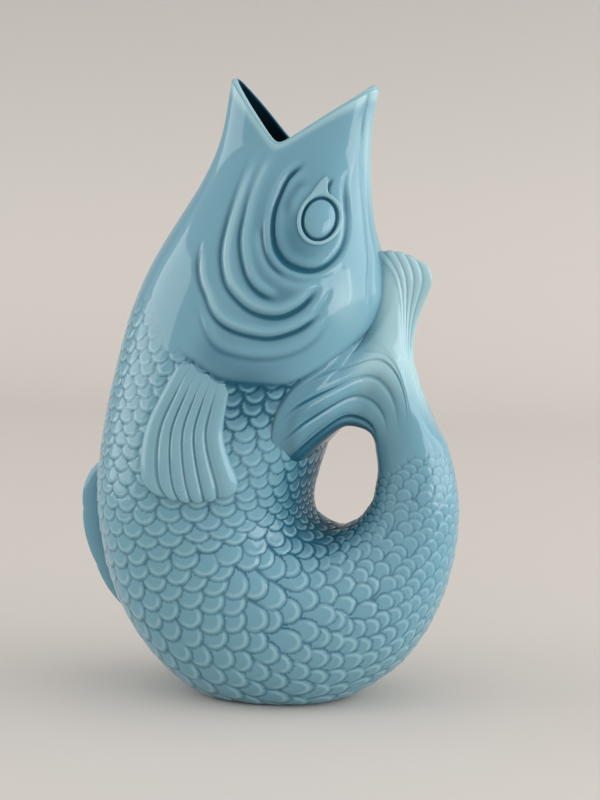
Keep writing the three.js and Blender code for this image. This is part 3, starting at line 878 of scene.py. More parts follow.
class Field:
    """A number at every point of a mesh, worked out by the nodes of a tree."""

    def __init__(self, tree, socket):
        self.tree = tree
        self.socket = socket

    def math(self, operation, *values):
        inputs = dict(enumerate((self, *values)))
        return Field(self.tree, add_node(self.tree, "ShaderNodeMath", inputs, operation=operation).outputs[0])

    def __add__(self, other):
        return self.math("ADD", other)

    def __sub__(self, other):
        return self.math("SUBTRACT", other)

    def __mul__(self, other):
        return self.math("MULTIPLY", other)

    def __truediv__(self, other):
        return self.math("DIVIDE", other)

    def __pow__(self, other):
        return self.math("POWER", other)

    def __rsub__(self, other):
        return self * -1 + other

    def floor(self):
        return self.math("FLOOR")

    def mixed(self, other, share):
        node = self.tree.nodes.new("ShaderNodeMix")
        slots = [slot for slot in node.inputs if slot.enabled]
        for slot, value in zip(slots, (share, self, other)):
            plug(self.tree, value, slot)
        return Field(self.tree, next(slot for slot in node.outputs if slot.enabled))

    def size(self):
        return self.math("ABSOLUTE")

    def mapped(self, from_low, from_high, to_low=0.0, to_high=1.0, kind="SMOOTHSTEP"):
        inputs = dict(enumerate((self, from_low, from_high, to_low, to_high)))
        node = add_node(self.tree, "ShaderNodeMapRange", inputs, interpolation_type=kind)
        return Field(self.tree, node.outputs[0])


def plug(tree, value, slot):
    """Puts a field, another node's output or a plain value into a node's input."""
    if isinstance(value, Field):
        value = value.socket
    if isinstance(value, bpy.types.NodeSocket):
        tree.links.new(value, slot)
    else:
        slot.default_value = value


def add_node(tree, kind, inputs=None, **settings):
    node = tree.nodes.new(kind)
    for label, value in settings.items():
        setattr(node, label, value)
    for label, value in (inputs or {}).items():
        plug(tree, value, node.inputs[label])
    return node


def attribute_field(tree, name, kind="FLOAT"):
    node = add_node(tree, "GeometryNodeInputNamedAttribute", {"Name": name}, data_type=kind)
    return Field(tree, node.outputs["Attribute"])


def new_tree(name, inputs):
    """A node tree that takes a mesh, the numbers named in inputs and a material."""
    tree = bpy.data.node_groups.new(name, "GeometryNodeTree")
    tree.is_modifier = True
    tree.interface.new_socket("Geometry", in_out="INPUT", socket_type="NodeSocketGeometry")
    for label, (kind, value) in inputs.items():
        socket = tree.interface.new_socket(label, in_out="INPUT", socket_type=kind)
        if value is not None:
            socket.default_value = value
    tree.interface.new_socket("Material", in_out="INPUT", socket_type="NodeSocketMaterial")
    tree.interface.new_socket("Geometry", in_out="OUTPUT", socket_type="NodeSocketGeometry")
    entry = tree.nodes.new("NodeGroupInput")
    return tree, entry


def end_tree(tree, entry, height, glaze):
    """Stores glaze and painted shade depth, moves the points out by height, and ends in realized, coated
    geometry.
    """
    depth = attribute_field(tree, "glaze_depth") + glaze
    stored = {"Geometry": entry.outputs["Geometry"], "Name": "glaze_depth", "Value": depth}
    made = add_node(tree, "GeometryNodeStoreNamedAttribute", stored, data_type="FLOAT", domain="POINT")
    outward = attribute_field(tree, "skin_normal", "FLOAT_VECTOR")
    push = add_node(tree, "ShaderNodeVectorMath", {0: outward, "Scale": height}, operation="SCALE")
    for kind, inputs in (
        ("GeometryNodeSetPosition", {"Offset": push.outputs[0]}),
        ("GeometryNodeRealizeInstances", {}),
        ("GeometryNodeSetMaterial", {"Material": entry.outputs["Material"]}),
        ("NodeGroupOutput", {}),
    ):
        made = add_node(tree, kind, {"Geometry": made.outputs["Geometry"], **inputs})
    return tree


# Half the width of a scale's soft edge, as a share of the scale
PLATE_EDGE = 0.17
# What lowers the rank of a scale that ends short of a point
OUT_OF_REACH = 20.0
# How much of a scale's own number goes into its height, and where its top begins to fall to its edge
PLATE_UNEVENNESS = 0.4
PLATE_FALL = (0.7, 1.0)
# Lowest height of a scale under another, and how deep all of them are sunk
LOWEST_PLATE = -0.35
PLATES_SUNK = 0.2
# Trough beside a scale: how near its edge that lies, and how far it overlaps what shows there
TROUGH_NEAR = (1.06, 1.46)
TROUGH_OVERLAP = (0.1, 0.45)
# Dark seam along a scale's edge, and the pale rim inside it, which begins partway to the tip
SEAM_NEAR = (0.82, 1.02)
RIM_BEGINS = (0.55, 0.78)
RIM_ENDS = (0.8, 0.98)
RIM_ALONG = (0.3, 0.9)
# Glaze depths of trough and seam, where glaze pools and painted shade lies; how much paler the rim is, a
# painted highlight on thinner glaze; and two places along a scale with the depths between which it changes
# there, darker at the root as a painted shadow of the scale above
TROUGH_SHADE = 0.72
SEAM_SHADE = 0.62
RIM_HIGHLIGHT = 0.55
PLATE_SHADE = (-0.5, 0.7, 0.16, -0.06)
# Relief of scales and of ribs at which their shades are full, in millimetres
SCALE_SHADE_RELIEF = 0.9
RIB_SHADE_RELIEF = 1.2
# Shares of a rib's depth in its round back and in the narrow groove
RIB_ROUND = 0.45
RIB_NARROW = 0.55
# Glaze depth in the groove, and how much thinner it is on the ridges beside it, which begin and end there
RIB_SHADE = 0.72
RIDGE_SHADE = 0.35
RIDGE_BEGINS = (0.45, 0.75)
RIDGE_ENDS = (0.75, 0.92)


class Plate(NamedTuple):
    """One scale as a tilted plate.

    At a point: its rank, how far along it and how near its edge the point lies, and its height there.
    """

    rank: Field
    along: Field
    edge: Field
    height: Field

    def mixed(self, other, share):
        return Plate(*(mine.mixed(its, share) for mine, its in zip(self, other)))


def scale_plate(tree, number, entry):
    """The plate of the nearest scale of one set."""
    laid = add_node(tree, "GeometryNodeObjectInfo", {"Object": entry.outputs["Scales"]}).outputs["Geometry"]
    own_set = (attribute_field(tree, "scale_set") - number).size().math("LESS_THAN", 0.5)
    split = add_node(tree, "GeometryNodeSeparateGeometry", {"Geometry": laid, "Selection": own_set})
    chosen = split.outputs["Selection"]
    nearest = add_node(tree, "GeometryNodeSampleNearest", {"Geometry": chosen}).outputs["Index"]
    here = add_node(tree, "GeometryNodeInputPosition").outputs["Position"]

    def sampled(value):
        inputs = {"Geometry": chosen, "Value": value, "Index": nearest}
        return add_node(tree, "GeometryNodeSampleIndex", inputs, data_type="FLOAT_VECTOR").outputs["Value"]

    def vector_math(operation, first, second, output):
        node = add_node(tree, "ShaderNodeVectorMath", {0: first, 1: second}, operation=operation)
        return node.outputs[output]

    away = vector_math("SUBTRACT", here, sampled(here), "Vector")
    names = ("scale_size", "scale_flow", "scale_aside")
    size, flow, aside = (sampled(attribute_field(tree, name, "FLOAT_VECTOR")) for name in names)
    sizes = add_node(tree, "ShaderNodeSeparateXYZ", {"Vector": size})
    half_width, length, own = (Field(tree, sizes.outputs[axis]) for axis in "XYZ")
    along = Field(tree, vector_math("DOT_PRODUCT", away, flow, "Value")) / length
    across = Field(tree, vector_math("DOT_PRODUCT", away, aside, "Value")) / half_width
    shoulder, tip, slope, cushion, unevenness = (
        Field(tree, entry.outputs[name]) for name in ("Shoulder", "Tip", "Slope", "Cushion", "Unevenness")
    )
    front = (along - shoulder).math("MAXIMUM", 0.0) / ((tip - shoulder) * (own * unevenness + 1))
    edge = (across**2 + front**2) ** 0.5
    beside = edge.math("GREATER_THAN", 1 + PLATE_EDGE).math("MAXIMUM", along.math("LESS_THAN", -1.0))
    height = along * slope - across**2 * cushion + own * unevenness * PLATE_UNEVENNESS
    height = height - edge.mapped(*PLATE_FALL) * cushion
    return Plate(along - beside * OUT_OF_REACH, along, edge, height)


def scale_tree():
    """Overlapping scales on a skin: in every place the highest plate shows, and its edge pools glaze and
    painted shade.
    """
    tree, entry = new_tree(
        "overlapping_scales",
        {
            "Scales": ("NodeSocketObject", None),
            "Shoulder": ("NodeSocketFloat", 0.45),
            "Tip": ("NodeSocketFloat", 1.32),
            "Slope": ("NodeSocketFloat", 0.36),
            "Cushion": ("NodeSocketFloat", 0.2),
            "Unevenness": ("NodeSocketFloat", 0.12),
            "Groove": ("NodeSocketFloat", 0.2),
        },
    )
    plates = [scale_plate(tree, number, entry) for number in range(SCALE_SETS)]
    top = plates[0]
    under = top._replace(rank=top.rank - OUT_OF_REACH)
    for plate in plates[1:]:
        above = plate.rank.math("GREATER_THAN", top.rank)
        between = plate.rank.math("GREATER_THAN", under.rank)
        under = under.mixed(plate, between).mixed(top, above)
        top = top.mixed(plate, above)
    over = top.edge.mapped(1 - PLATE_EDGE, 1 + PLATE_EDGE, 1.0, 0.0)
    shown = under.along.mixed(top.along, over)
    trough = None
    for plate in plates:
        beside = plate.edge.mapped(*TROUGH_NEAR, 1.0, 0.0) * (plate.along - shown).mapped(*TROUGH_OVERLAP)
        trough = beside if trough is None else trough.math("MAXIMUM", beside)
    trough = trough * (1 - over)
    seam = under.edge.mixed(top.edge, over).mapped(*SEAM_NEAR)
    rim = top.edge.mapped(*RIM_BEGINS) * top.edge.mapped(*RIM_ENDS, 1.0, 0.0) * top.along.mapped(*RIM_ALONG)
    depth = attribute_field(tree, "scale_depth")
    groove = Field(tree, entry.outputs["Groove"])
    lower = under.height.math("MAXIMUM", LOWEST_PLATE) - trough * groove
    height = lower.mixed(top.height, over) - PLATES_SUNK
    # Pooled glaze and painted shade in trough and seam, a painted highlight on the rim, a painted shadow at
    # the root
    shade = (trough * TROUGH_SHADE).math("MAXIMUM", seam * SEAM_SHADE) - rim * RIM_HIGHLIGHT
    shade = shade + shown.mapped(*PLATE_SHADE)
    strength = depth.mapped(0.0, SCALE_SHADE_RELIEF * MM, 0.0, 1.0, "LINEAR")
    return end_tree(tree, entry, height * depth, shade * strength)


def rib_tree():
    """Rounded ribs with narrow grooves between them, on a skin whose points know their rib and its depth."""
    tree, entry = new_tree("rounded_ribs", {"Groove Sharpness": ("NodeSocketFloat", FIN_SHARPNESS)})
    place = attribute_field(tree, "rib_place")
    depth = attribute_field(tree, "rib_depth")
    from_middle = ((place - place.floor()) * 2 - 1).size()
    narrow = from_middle ** Field(tree, entry.outputs["Groove Sharpness"])
    height = (from_middle**2 * RIB_ROUND + narrow * RIB_NARROW) * depth * -1
    strength = depth.mapped(0.0, RIB_SHADE_RELIEF * MM, 0.0, 1.0, "LINEAR")
    ridge = from_middle.mapped(*RIDGE_BEGINS) * from_middle.mapped(*RIDGE_ENDS, 1.0, 0.0)
    shade = narrow * RIB_SHADE - ridge * RIDGE_SHADE
    return end_tree(tree, entry, height, shade * strength)


def run_tree(piece, tree, values, material):
    """Runs a tree on a piece and leaves a plain mesh."""
    modifier = piece.modifiers.new(tree.name, "NODES")
    modifier.node_group = tree
    for item in tree.interface.items_tree:
        if item.in_out == "INPUT" and item.name in values:
            modifier[item.identifier] = values[item.name]
        if item.in_out == "INPUT" and item.name == "Material":
            modifier[item.identifier] = material
    graph = bpy.context.evaluated_depsgraph_get()
    made = bpy.data.meshes.new_from_object(
        piece.evaluated_get(graph), preserve_all_data_layers=True, depsgraph=graph
    )
    piece.modifiers.remove(modifier)
    draft = piece.data
    piece.data = made
    bpy.data.meshes.remove(draft)
    for label in ("skin_normal", "scale_depth", "rib_place", "rib_depth"):
        attribute = made.attributes.get(label)
        if attribute is not None:
            made.attributes.remove(attribute)
    made.name = piece.name


# Glaze


def linear(colour):
    """A display colour as the linear colour that shaders take."""
    return [*Color(colour).from_srgb_to_scene_linear(), 1.0]


# Glaze depths of the palest and the darkest colour; 0 is an even coat, 1 is pooled in a groove and the
# darkest is painted shade inside
THINNEST = -1.0
DEEPEST = 2.0
# Share of the gloss that is left in pooled glaze, where little light gets in to be reflected
POOLED_GLOSS = 0.03
# Glaze depths between which the rest is lost
POOLED_SPAN = (0.45, 0.85)
GLAZE_IOR = 1.5
# Clouds in the depth of the coat, and ripples on it
CLOUDS = {"Scale": 22, "Detail": 3}
RIPPLES = {"Scale": 70, "Detail": 2}
RIPPLE_RELIEF = {"Strength": 0.12, "Distance": 0.0006}


def new_material(name):
    """A material, its node tree and its shader."""
    material = bpy.data.materials.new(name)
    material.use_nodes = True
    return material, material.node_tree, material.node_tree.nodes["Principled BSDF"]


def blue_glaze(settings):
    """Glossy glaze, pale where thin on edges and deep where pooled in grooves, with painted light and shade.
    """
    material = bpy.data.materials.get("blue_glaze_coat")
    if material is not None:
        return material
    material, tree, shader = new_material("blue_glaze_coat")
    depth = add_node(tree, "ShaderNodeAttribute", attribute_name="glaze_depth").outputs["Fac"]
    where = add_node(tree, "ShaderNodeTexCoord").outputs["Object"]

    def noise(kind):
        return add_node(tree, "ShaderNodeTexNoise", {"Vector": where, **kind}).outputs["Fac"]

    # Depth of glaze together with painted light and shade
    pooled_and_shaded = Field(tree, depth) + (Field(tree, noise(CLOUDS)) - 0.5) * settings.mottle
    place = pooled_and_shaded.mapped(THINNEST, DEEPEST, 0.0, 1.0, "LINEAR")
    ramp = add_node(tree, "ShaderNodeValToRGB", {"Fac": place})
    ramp.color_ramp.interpolation = "EASE"
    stops = ramp.color_ramp.elements
    stops[0].color = linear(settings.thin_colour)
    # The darkest stop is painted shade inside the carafe
    stops[1].color = linear(settings.inside_shade_colour)
    stops.new((0 - THINNEST) / (DEEPEST - THINNEST)).color = linear(settings.body_colour)
    stops.new((1 - THINNEST) / (DEEPEST - THINNEST)).color = linear(settings.pooled_colour)
    tree.links.new(ramp.outputs["Color"], shader.inputs["Base Color"])
    shader.inputs["Roughness"].default_value = settings.roughness
    shader.inputs["IOR"].default_value = GLAZE_IOR
    shader.inputs["Specular IOR Level"].default_value = settings.gloss
    shine = pooled_and_shaded.mapped(*POOLED_SPAN, settings.gloss, settings.gloss * POOLED_GLOSS)
    plug(tree, shine, shader.inputs["Specular IOR Level"])
    bump = add_node(tree, "ShaderNodeBump", {"Height": noise(RIPPLES), **RIPPLE_RELIEF})
    tree.links.new(bump.outputs["Normal"], shader.inputs["Normal"])
    return material


# Settings


class CarafeTrunkSettings(bpy.types.PropertyGroup):
    """Sizes of the trunk and its scales."""

    wall: bpy.props.FloatProperty(
        name="Wall", description="Thickness of the clay", default=0.0045, subtype="DISTANCE", unit="LENGTH"
    )
    lip: bpy.props.FloatProperty(
        name="Lip",
        description="Thickness of the mouth's rim",
        default=0.0036,
        subtype="DISTANCE",
        unit="LENGTH",
    )
    scale_relief: bpy.props.FloatProperty(
        name="Scale Relief",
        description="How far the largest scales stand out",
        default=0.0011,
        subtype="DISTANCE",
        unit="LENGTH",
    )
    scale_size: bpy.props.FloatProperty(
        name="Scale Size",
        description="Size of the scales against their usual size",
        default=1.0,
        min=0.6,
        max=2.0,
    )


class CarafeFinSettings(bpy.types.PropertyGroup):
    """Sizes of the fins and eyes."""

    tail_rib_depth: bpy.props.FloatProperty(
        name="Tail Rib Depth",
        description="Depth of the grooves in the tail fin",
        default=0.0016,
        subtype="DISTANCE",
        unit="LENGTH",
    )
    pectoral_height: bpy.props.FloatProperty(
        name="Pectoral Height",
        description="How far the side fins stand out at their free ends",
        default=0.0052,
        subtype="DISTANCE",
        unit="LENGTH",
    )
    pectoral_rib_depth: bpy.props.FloatProperty(
        name="Pectoral Rib Depth",
        description="Depth of the grooves in the side fins",
        default=0.0016,
        subtype="DISTANCE",
        unit="LENGTH",
    )
    belly_fin_height: bpy.props.FloatProperty(
        name="Belly Fin Height",
        description="Height of the crest on the belly",
        default=0.0135,
        subtype="DISTANCE",
        unit="LENGTH",
    )
    eye_dome: bpy.props.FloatProperty(
        name="Eye Dome",
        description="How far the eyeball stands out",
        default=0.0026,
        subtype="DISTANCE",
        unit="LENGTH",
    )


class CarafeGlazeSettings(bpy.types.PropertyGroup):
    """Colours and gloss of the glaze."""

    body_colour: bpy.props.FloatVectorProperty(
        name="Glaze", description="Colour of an even coat", default=(0.43, 0.615, 0.68), subtype="COLOR_GAMMA"
    )
    thin_colour: bpy.props.FloatVectorProperty(
        name="Thin Glaze",
        description="Colour on raised edges",
        default=(0.61, 0.755, 0.785),
        subtype="COLOR_GAMMA",
    )
    pooled_colour: bpy.props.FloatVectorProperty(
        name="Pooled Glaze",
        description="Colour in grooves",
        default=(0.17, 0.365, 0.445),
        subtype="COLOR_GAMMA",
    )
    # Dark colour inside, painted shade where little light gets in
    inside_shade_colour: bpy.props.FloatVectorProperty(
        name="Inside",
        description="Colour of the coat inside",
        default=(0.02, 0.12, 0.155),
        subtype="COLOR_GAMMA",
    )
    roughness: bpy.props.FloatProperty(
        name="Roughness", description="Roughness of the glaze", default=0.08, min=0, max=1, subtype="FACTOR"
    )
    gloss: bpy.props.FloatProperty(
        name="Gloss", description="Strength of reflections", default=0.38, min=0, max=1, subtype="FACTOR"
    )
    mottle: bpy.props.FloatProperty(
        name="Mottle",
        description="Unevenness of the coat's depth",
        default=0.25,
        min=0,
        max=1,
        subtype="FACTOR",
    )


class CarafeStageSettings(bpy.types.PropertyGroup):
    """Backdrop and camera."""

    floor_colour: bpy.props.FloatVectorProperty(
        name="Floor", description="Colour of the floor", default=(0.815, 0.79, 0.765), subtype="COLOR_GAMMA"
    )
    # Darker than the floor as painted shade on the same paper
    shaded_wall_colour: bpy.props.FloatVectorProperty(
        name="Wall",
        description="Colour of the wall behind",
        default=(0.722, 0.708, 0.69),
        subtype="COLOR_GAMMA",
    )
    azimuth: bpy.props.FloatProperty(
        name="Azimuth",
        description="Camera's turn towards the tail",
        default=math.radians(14),
        subtype="ANGLE",
    )
    elevation: bpy.props.FloatProperty(
        name="Elevation", description="Camera's angle above level", default=math.radians(8), subtype="ANGLE"
    )
    distance: bpy.props.FloatProperty(
        name="Distance", description="Camera to the carafe", default=1.0, subtype="DISTANCE", unit="LENGTH"
    )
    lens: bpy.props.FloatProperty(
        name="Lens", description="Focal length in millimetres", default=93.0, subtype="DISTANCE_CAMERA"
    )


# Trunk pieces


class Coat(NamedTuple):
    """The finished outside of the trunk in rows of COLUMNS points: places, normals and depths of glaze and
    painted light.
    """

    points: np.ndarray
    normals: np.ndarray
    glaze: np.ndarray

    def rows(self, which):
        return Coat(*(values[which] for values in self))


def inner_wall(stations, wall):
    points, normals = trunk_skin().at(stations)
    points = points - normals * wall
    points[..., 2] = np.maximum(points[..., 2], FLOOR)
    return points


def rows_between(first, last):
    """Stations from first to last, about a row's length apart."""
    stations = np.linspace(first, last, SPAN_POINTS)
    length = lengths_along(line_through(stations, POINT_LINE))
    return np.interp(np.linspace(0, length[-1], round(length[-1] / ROW_LENGTH)), length, stations)


def whole_rows(stations):
    return np.repeat(np.asarray(stations)[:, None], COLUMNS, axis=1)


def flat_rings(faces, *rings):
    """Marks the faces from each ring to the next: flat joints, which leave the skin's shading alone."""
    return np.isin(np.arange(len(faces)) // COLUMNS, rings)


def set_normals(mesh, normals):
    """Gives points their own shading normals; a point with a zero keeps the one that its faces give it."""
    mesh.normals_split_custom_set_from_vertices(normals.reshape(-1, 3).tolist())


def read_points(mesh, field):
    values = np.empty(len(mesh.vertices) * 3, np.float32)
    mesh.vertices.foreach_get(field, values)
    return values.astype(float).reshape(-1, 3)


class CARAFE_OT_trunk(bpy.types.Operator):
    """Build the head, body and tail, with their scales"""

    bl_idname = "carafe.trunk"
    bl_label = "Head, Body and Tail"

    def execute(self, context):
        """One scaled skin is made from the rim to the tail's end and then cut at the joints."""
        settings = context.scene.carafe_trunk
        self.wall = settings.wall / MM
        self.glaze = blue_glaze(context.scene.carafe_glaze)
        rim = rim_stations()[None, :]
        share = np.linspace(1, 0, round(HEAD_LENGTH / ROW_LENGTH))[:, None]
        spans = [NECK + (rim - NECK) * share]
        for first, last in ((NECK, WAIST), (WAIST, TAIL_ROOT), (TAIL_ROOT, TAIL_END)):
            spans.append(whole_rows(rows_between(first, last))[1:])
        neck, waist, root, end = np.cumsum([len(span) for span in spans])
        coat = self.scaled_coat(np.concatenate(spans), settings)
        coat.glaze[:neck] -= RIM_GLAZE * smooth_step(share, RIM_GLAZE_START, 1.0)
        self.head(coat.rows(slice(neck - 1, None, -1)), rim, settings.lip / MM)
        self.body("body_upper", coat.rows(slice(neck - 1, waist)), NECK, WAIST)
        self.body("body_lower", coat.rows(slice(waist - 1, root)), WAIST, TAIL_ROOT)
        self.tail(coat.rows(slice(end - 1, root - 2, -1)))
        return {"FINISHED"}

    def scaled_coat(self, stations, settings):
        points, normals = (values.reshape(-1, 3) for values in trunk_skin().at(stations))
        height, glaze = cheek_relief(points[:, [0, 2]])
        on_head = smooth_step(points[:, 2], *HEAD_START)
        size_stations, lengths, _ = np.array(SCALE_SIZES).T
        length = np.interp(stations, size_stations, lengths)
        relief = np.clip(length / FULL_SCALE_LENGTH, LEAST_SCALE_RELIEF, 1) * scale_shrink()
        relief = scale_strength(stations.reshape(-1), points) * relief.reshape(-1)
        # Broad patches of painted shade and painted light
        for middle, half_size, painted_depth in PAINTED_LIGHT_PLACES:
            glaze += painted_depth * np.exp(-(((points[:, [0, 2]] - middle) / half_size) ** 2).sum(1))
        glaze = np.minimum(glaze, DEEPEST_LINE)
        # Pooled glaze and painted shade round the finger hole
        near_hole = 1 - smooth_step(girth_from_hole(), *HOLE_SHADE_REACH)
        hole_shade = HOLE_SHADE * near_hole * smooth_step(stations, *HOLE_SHADE_START)
        attributes = {
            "skin_normal": normals,
            "scale_depth": relief * settings.scale_relief,
            "glaze_depth": glaze * on_head + hole_shade.reshape(-1),
        }
        outside = points + normals * (height * on_head)[:, None]
        faces = tube_faces(len(stations), COLUMNS, False)
        skin = add_piece("trunk_skin", mesh_from("trunk_skin", outside, faces, attributes))
        scales = self.laid_scales(settings)
        run_tree(skin, scale_tree(), {"Scales": scales}, self.glaze)
        grid = (len(stations), COLUMNS)
        depth = np.empty(len(outside), np.float32)
        skin.data.attributes["glaze_depth"].data.foreach_get("value", depth)
        coat = Coat(
            read_points(skin.data, "co").reshape(*grid, 3) / MM,
            read_points(skin.data, "normal").reshape(*grid, 3),
            depth.astype(float).reshape(grid),
        )
        for draft in (skin, scales):
            bpy.data.meshes.remove(draft.data)
        return coat

    def laid_scales(self, settings):
        """The roots of the scales as loose points that know their scale."""
        laid = lay_scales(settings.scale_size)
        attributes = {
            "scale_flow": laid.flow,
            "scale_aside": laid.aside,
            "scale_size": laid.sizes * [MM, MM, 1],
            "scale_set": laid.sets,
        }
        mesh = mesh_from("laid_scales", laid.roots, np.empty((0, 4), int), attributes)
        return add_piece("laid_scales", mesh)

    def finish(self, name, coat, inside, inside_glaze_and_shade, faces, flat, node):
        points = np.concatenate([coat.points.reshape(-1, 3), inside.reshape(-1, 3)])
        depth = np.concatenate([coat.glaze.reshape(-1), inside_glaze_and_shade.reshape(-1)])
        mesh = mesh_from(name, points, faces, {"glaze_depth": depth}, flat)
        mesh.materials.append(self.glaze)
        normals = np.zeros_like(points)
        normals[: coat.normals.size // 3] = coat.normals.reshape(-1, 3)
        set_normals(mesh, normals)
        finish_piece(add_piece(name, mesh), node)

    def head(self, coat, rim, lip):
        """Rings from the neck up to the rim, over the lip and back down inside."""
        edge, normals = trunk_skin().at(rim)
        nudge = 0.1
        upward = unit(trunk_skin().at(rim - nudge)[0] - edge)
        turn = np.linspace(0, np.pi, LIP_ROWS + 2)[1:-1, None]
        inward = (1 - np.cos(turn))[..., None] * lip / 2
        lip_rings = edge - normals * inward + upward * np.sin(turn)[..., None] * lip / 2
        share = np.linspace(1, 0, INNER_ROWS)[:, None]
        near_lip = share**LIP_TAPER
        wall = lip * near_lip + self.wall * (1 - near_lip)
        inner_rings = inner_wall(NECK + (rim - NECK) * share, wall[..., None])
        # Thinner glaze over the rim, then painted shade inside
        lip_glaze_and_shade = INSIDE_SHADE * smooth_step(turn / np.pi, *LIP_SHADE) - RIM_GLAZE * np.sin(turn)
        inside = np.concatenate([lip_rings, inner_rings])
        inner_shade = np.full(inner_rings.shape[:2], INSIDE_SHADE)
        inside_glaze_and_shade = np.concatenate([whole_rows(lip_glaze_and_shade[:, 0]), inner_shade])
        rows = len(coat.points) + len(inside)
        faces = tube_faces(rows, COLUMNS, True)
        coat.normals[-1] = 0
        self.finish("head", coat, inside, inside_glaze_and_shade, faces, flat_rings(faces, rows - 1), "head_shell")

    def body(self, name, coat, first, last):
        inside = inner_wall(whole_rows(np.linspace(last, first, INNER_ROWS)), self.wall)
        rows = len(coat.points) + INNER_ROWS
        faces = tube_faces(rows, COLUMNS, True)
        flat = flat_rings(faces, len(coat.points) - 1, rows - 1)
        # Painted shade all over the inside
        inside_glaze_and_shade = np.full(inside.shape[:2], INSIDE_SHADE)
        self.finish(name, coat, inside, inside_glaze_and_shade, faces, flat, "body_shell")

    def tail(self, coat):
        """Rings from the tail's end down to its root and back up inside it, with a cap at each end."""
        inside = inner_wall(whole_rows(np.linspace(TAIL_ROOT, HOLLOW_END, INNER_ROWS)), self.wall)
        rows = len(coat.points) + INNER_ROWS
        faces, caps = closed_tube(rows, COLUMNS)
        flat = flat_rings(faces, len(coat.points) - 1) | caps
        # Painted shade all over the inside
        inside_glaze_and_shade = np.full(inside.shape[:2], INSIDE_SHADE)
        self.finish("tail", coat, inside, inside_glaze_and_shade, faces, flat, "tail_handle")


# Tail fin


def fin_surface():
    """Rings of points across the tail fin, and the guide number of each column."""
    shares = np.linspace(0, 1, FIN_ROWS)
    guides = [spline_through(guide, shares * (len(guide) - 1)) for guide in FIN_GUIDES]
    crease = fine_line(FIN_CREASE, LONG_LINE_POINTS)
    half_columns = FIN_COLUMNS // 2
    number = (len(guides) - 1) * (0.5 - 0.5 * np.cos(np.linspace(0, np.pi, half_columns + 1)))
    rings = np.empty((FIN_ROWS, FIN_COLUMNS, 3))
    for row, share in enumerate(shares):
        corner = np.array([guide[row] for guide in guides])
        length = lengths_along(corner)
        across = np.interp(number, np.arange(len(corner)), length) / length[-1]
        places = np.stack([np.interp(number, np.arange(len(corner)), corner[:, i]) for i in range(2)], 1)
        bulge = FIN_BULGE * np.sin(np.pi * np.clip(number - 2, 0, 1))
        places[:, 1] += bulge * smooth_step(share, *FIN_BULGE_SPAN)
        blunt = np.where(across < 0.5, FIN_HOLE_POWER, FIN_BACK_POWER)
        power = SECTION_POWER + (blunt - SECTION_POWER) * smooth_step(share, *FIN_POWER_SPAN)
        edge = np.clip(1 - np.abs(2 * across - 1) ** power, 0, 1) ** (1 / power)
        width = fin_half_width(places, share, number, crease) * edge
        side = np.stack([places[:, 0], -width, places[:, 1]], 1)
        rings[row, : half_columns + 1] = side
        rings[row, half_columns + 1 :] = side[half_columns - 1 : 0 : -1] * [1, -1, 1]
    return rings, np.concatenate([number, number[half_columns - 1 : 0 : -1]])


def fin_half_width(places, share, number, crease):
    """Half the tail fin's thickness at places [x, z] on one ring of it."""
    apart, along, length = along_line(places, crease)
    band = np.interp(along / length, *np.array(FIN_BAND).T)
    rise = np.clip(-smooth_max(-(apart + FIN_BAND_LEAD) / band, -1.0, FIN_BAND_ROUNDING), 0, 1)
    upper = smooth_step(number, *FIN_UPPER)
    tip = FIN_CORE + (FIN_TIP - FIN_CORE) * smooth_step(share, *FIN_TIP_SPAN)
    bridge = FIN_CORE + (FIN_SPREAD - FIN_CORE) * smooth_step(share, *FIN_SPREAD_SPAN)
    core = bridge + (tip - bridge) * upper
    body = flank(places)
    to_body = np.maximum(core - body - FIN_BEVEL, 0) * smooth_step(body, *FIN_LANDING)
    core = core - (FIN_BEVEL + to_body) * (1 - rise) * smooth_step(share, *FIN_BEVEL_SPAN)
    tilt = FIN_TILT * np.maximum(number - FIN_TILT_START, 0) * smooth_step(share, *FIN_TILT_SPAN)
    core = core * (1 - tilt)
    core = core * (1 - upper * (1 - rounded_off(share, FIN_END_POWER)))
    landed = body - FIN_SUNK + (FIN_RELIEF + FIN_SUNK) * rise
    return smooth_max(core, landed, FIN_MEETING)


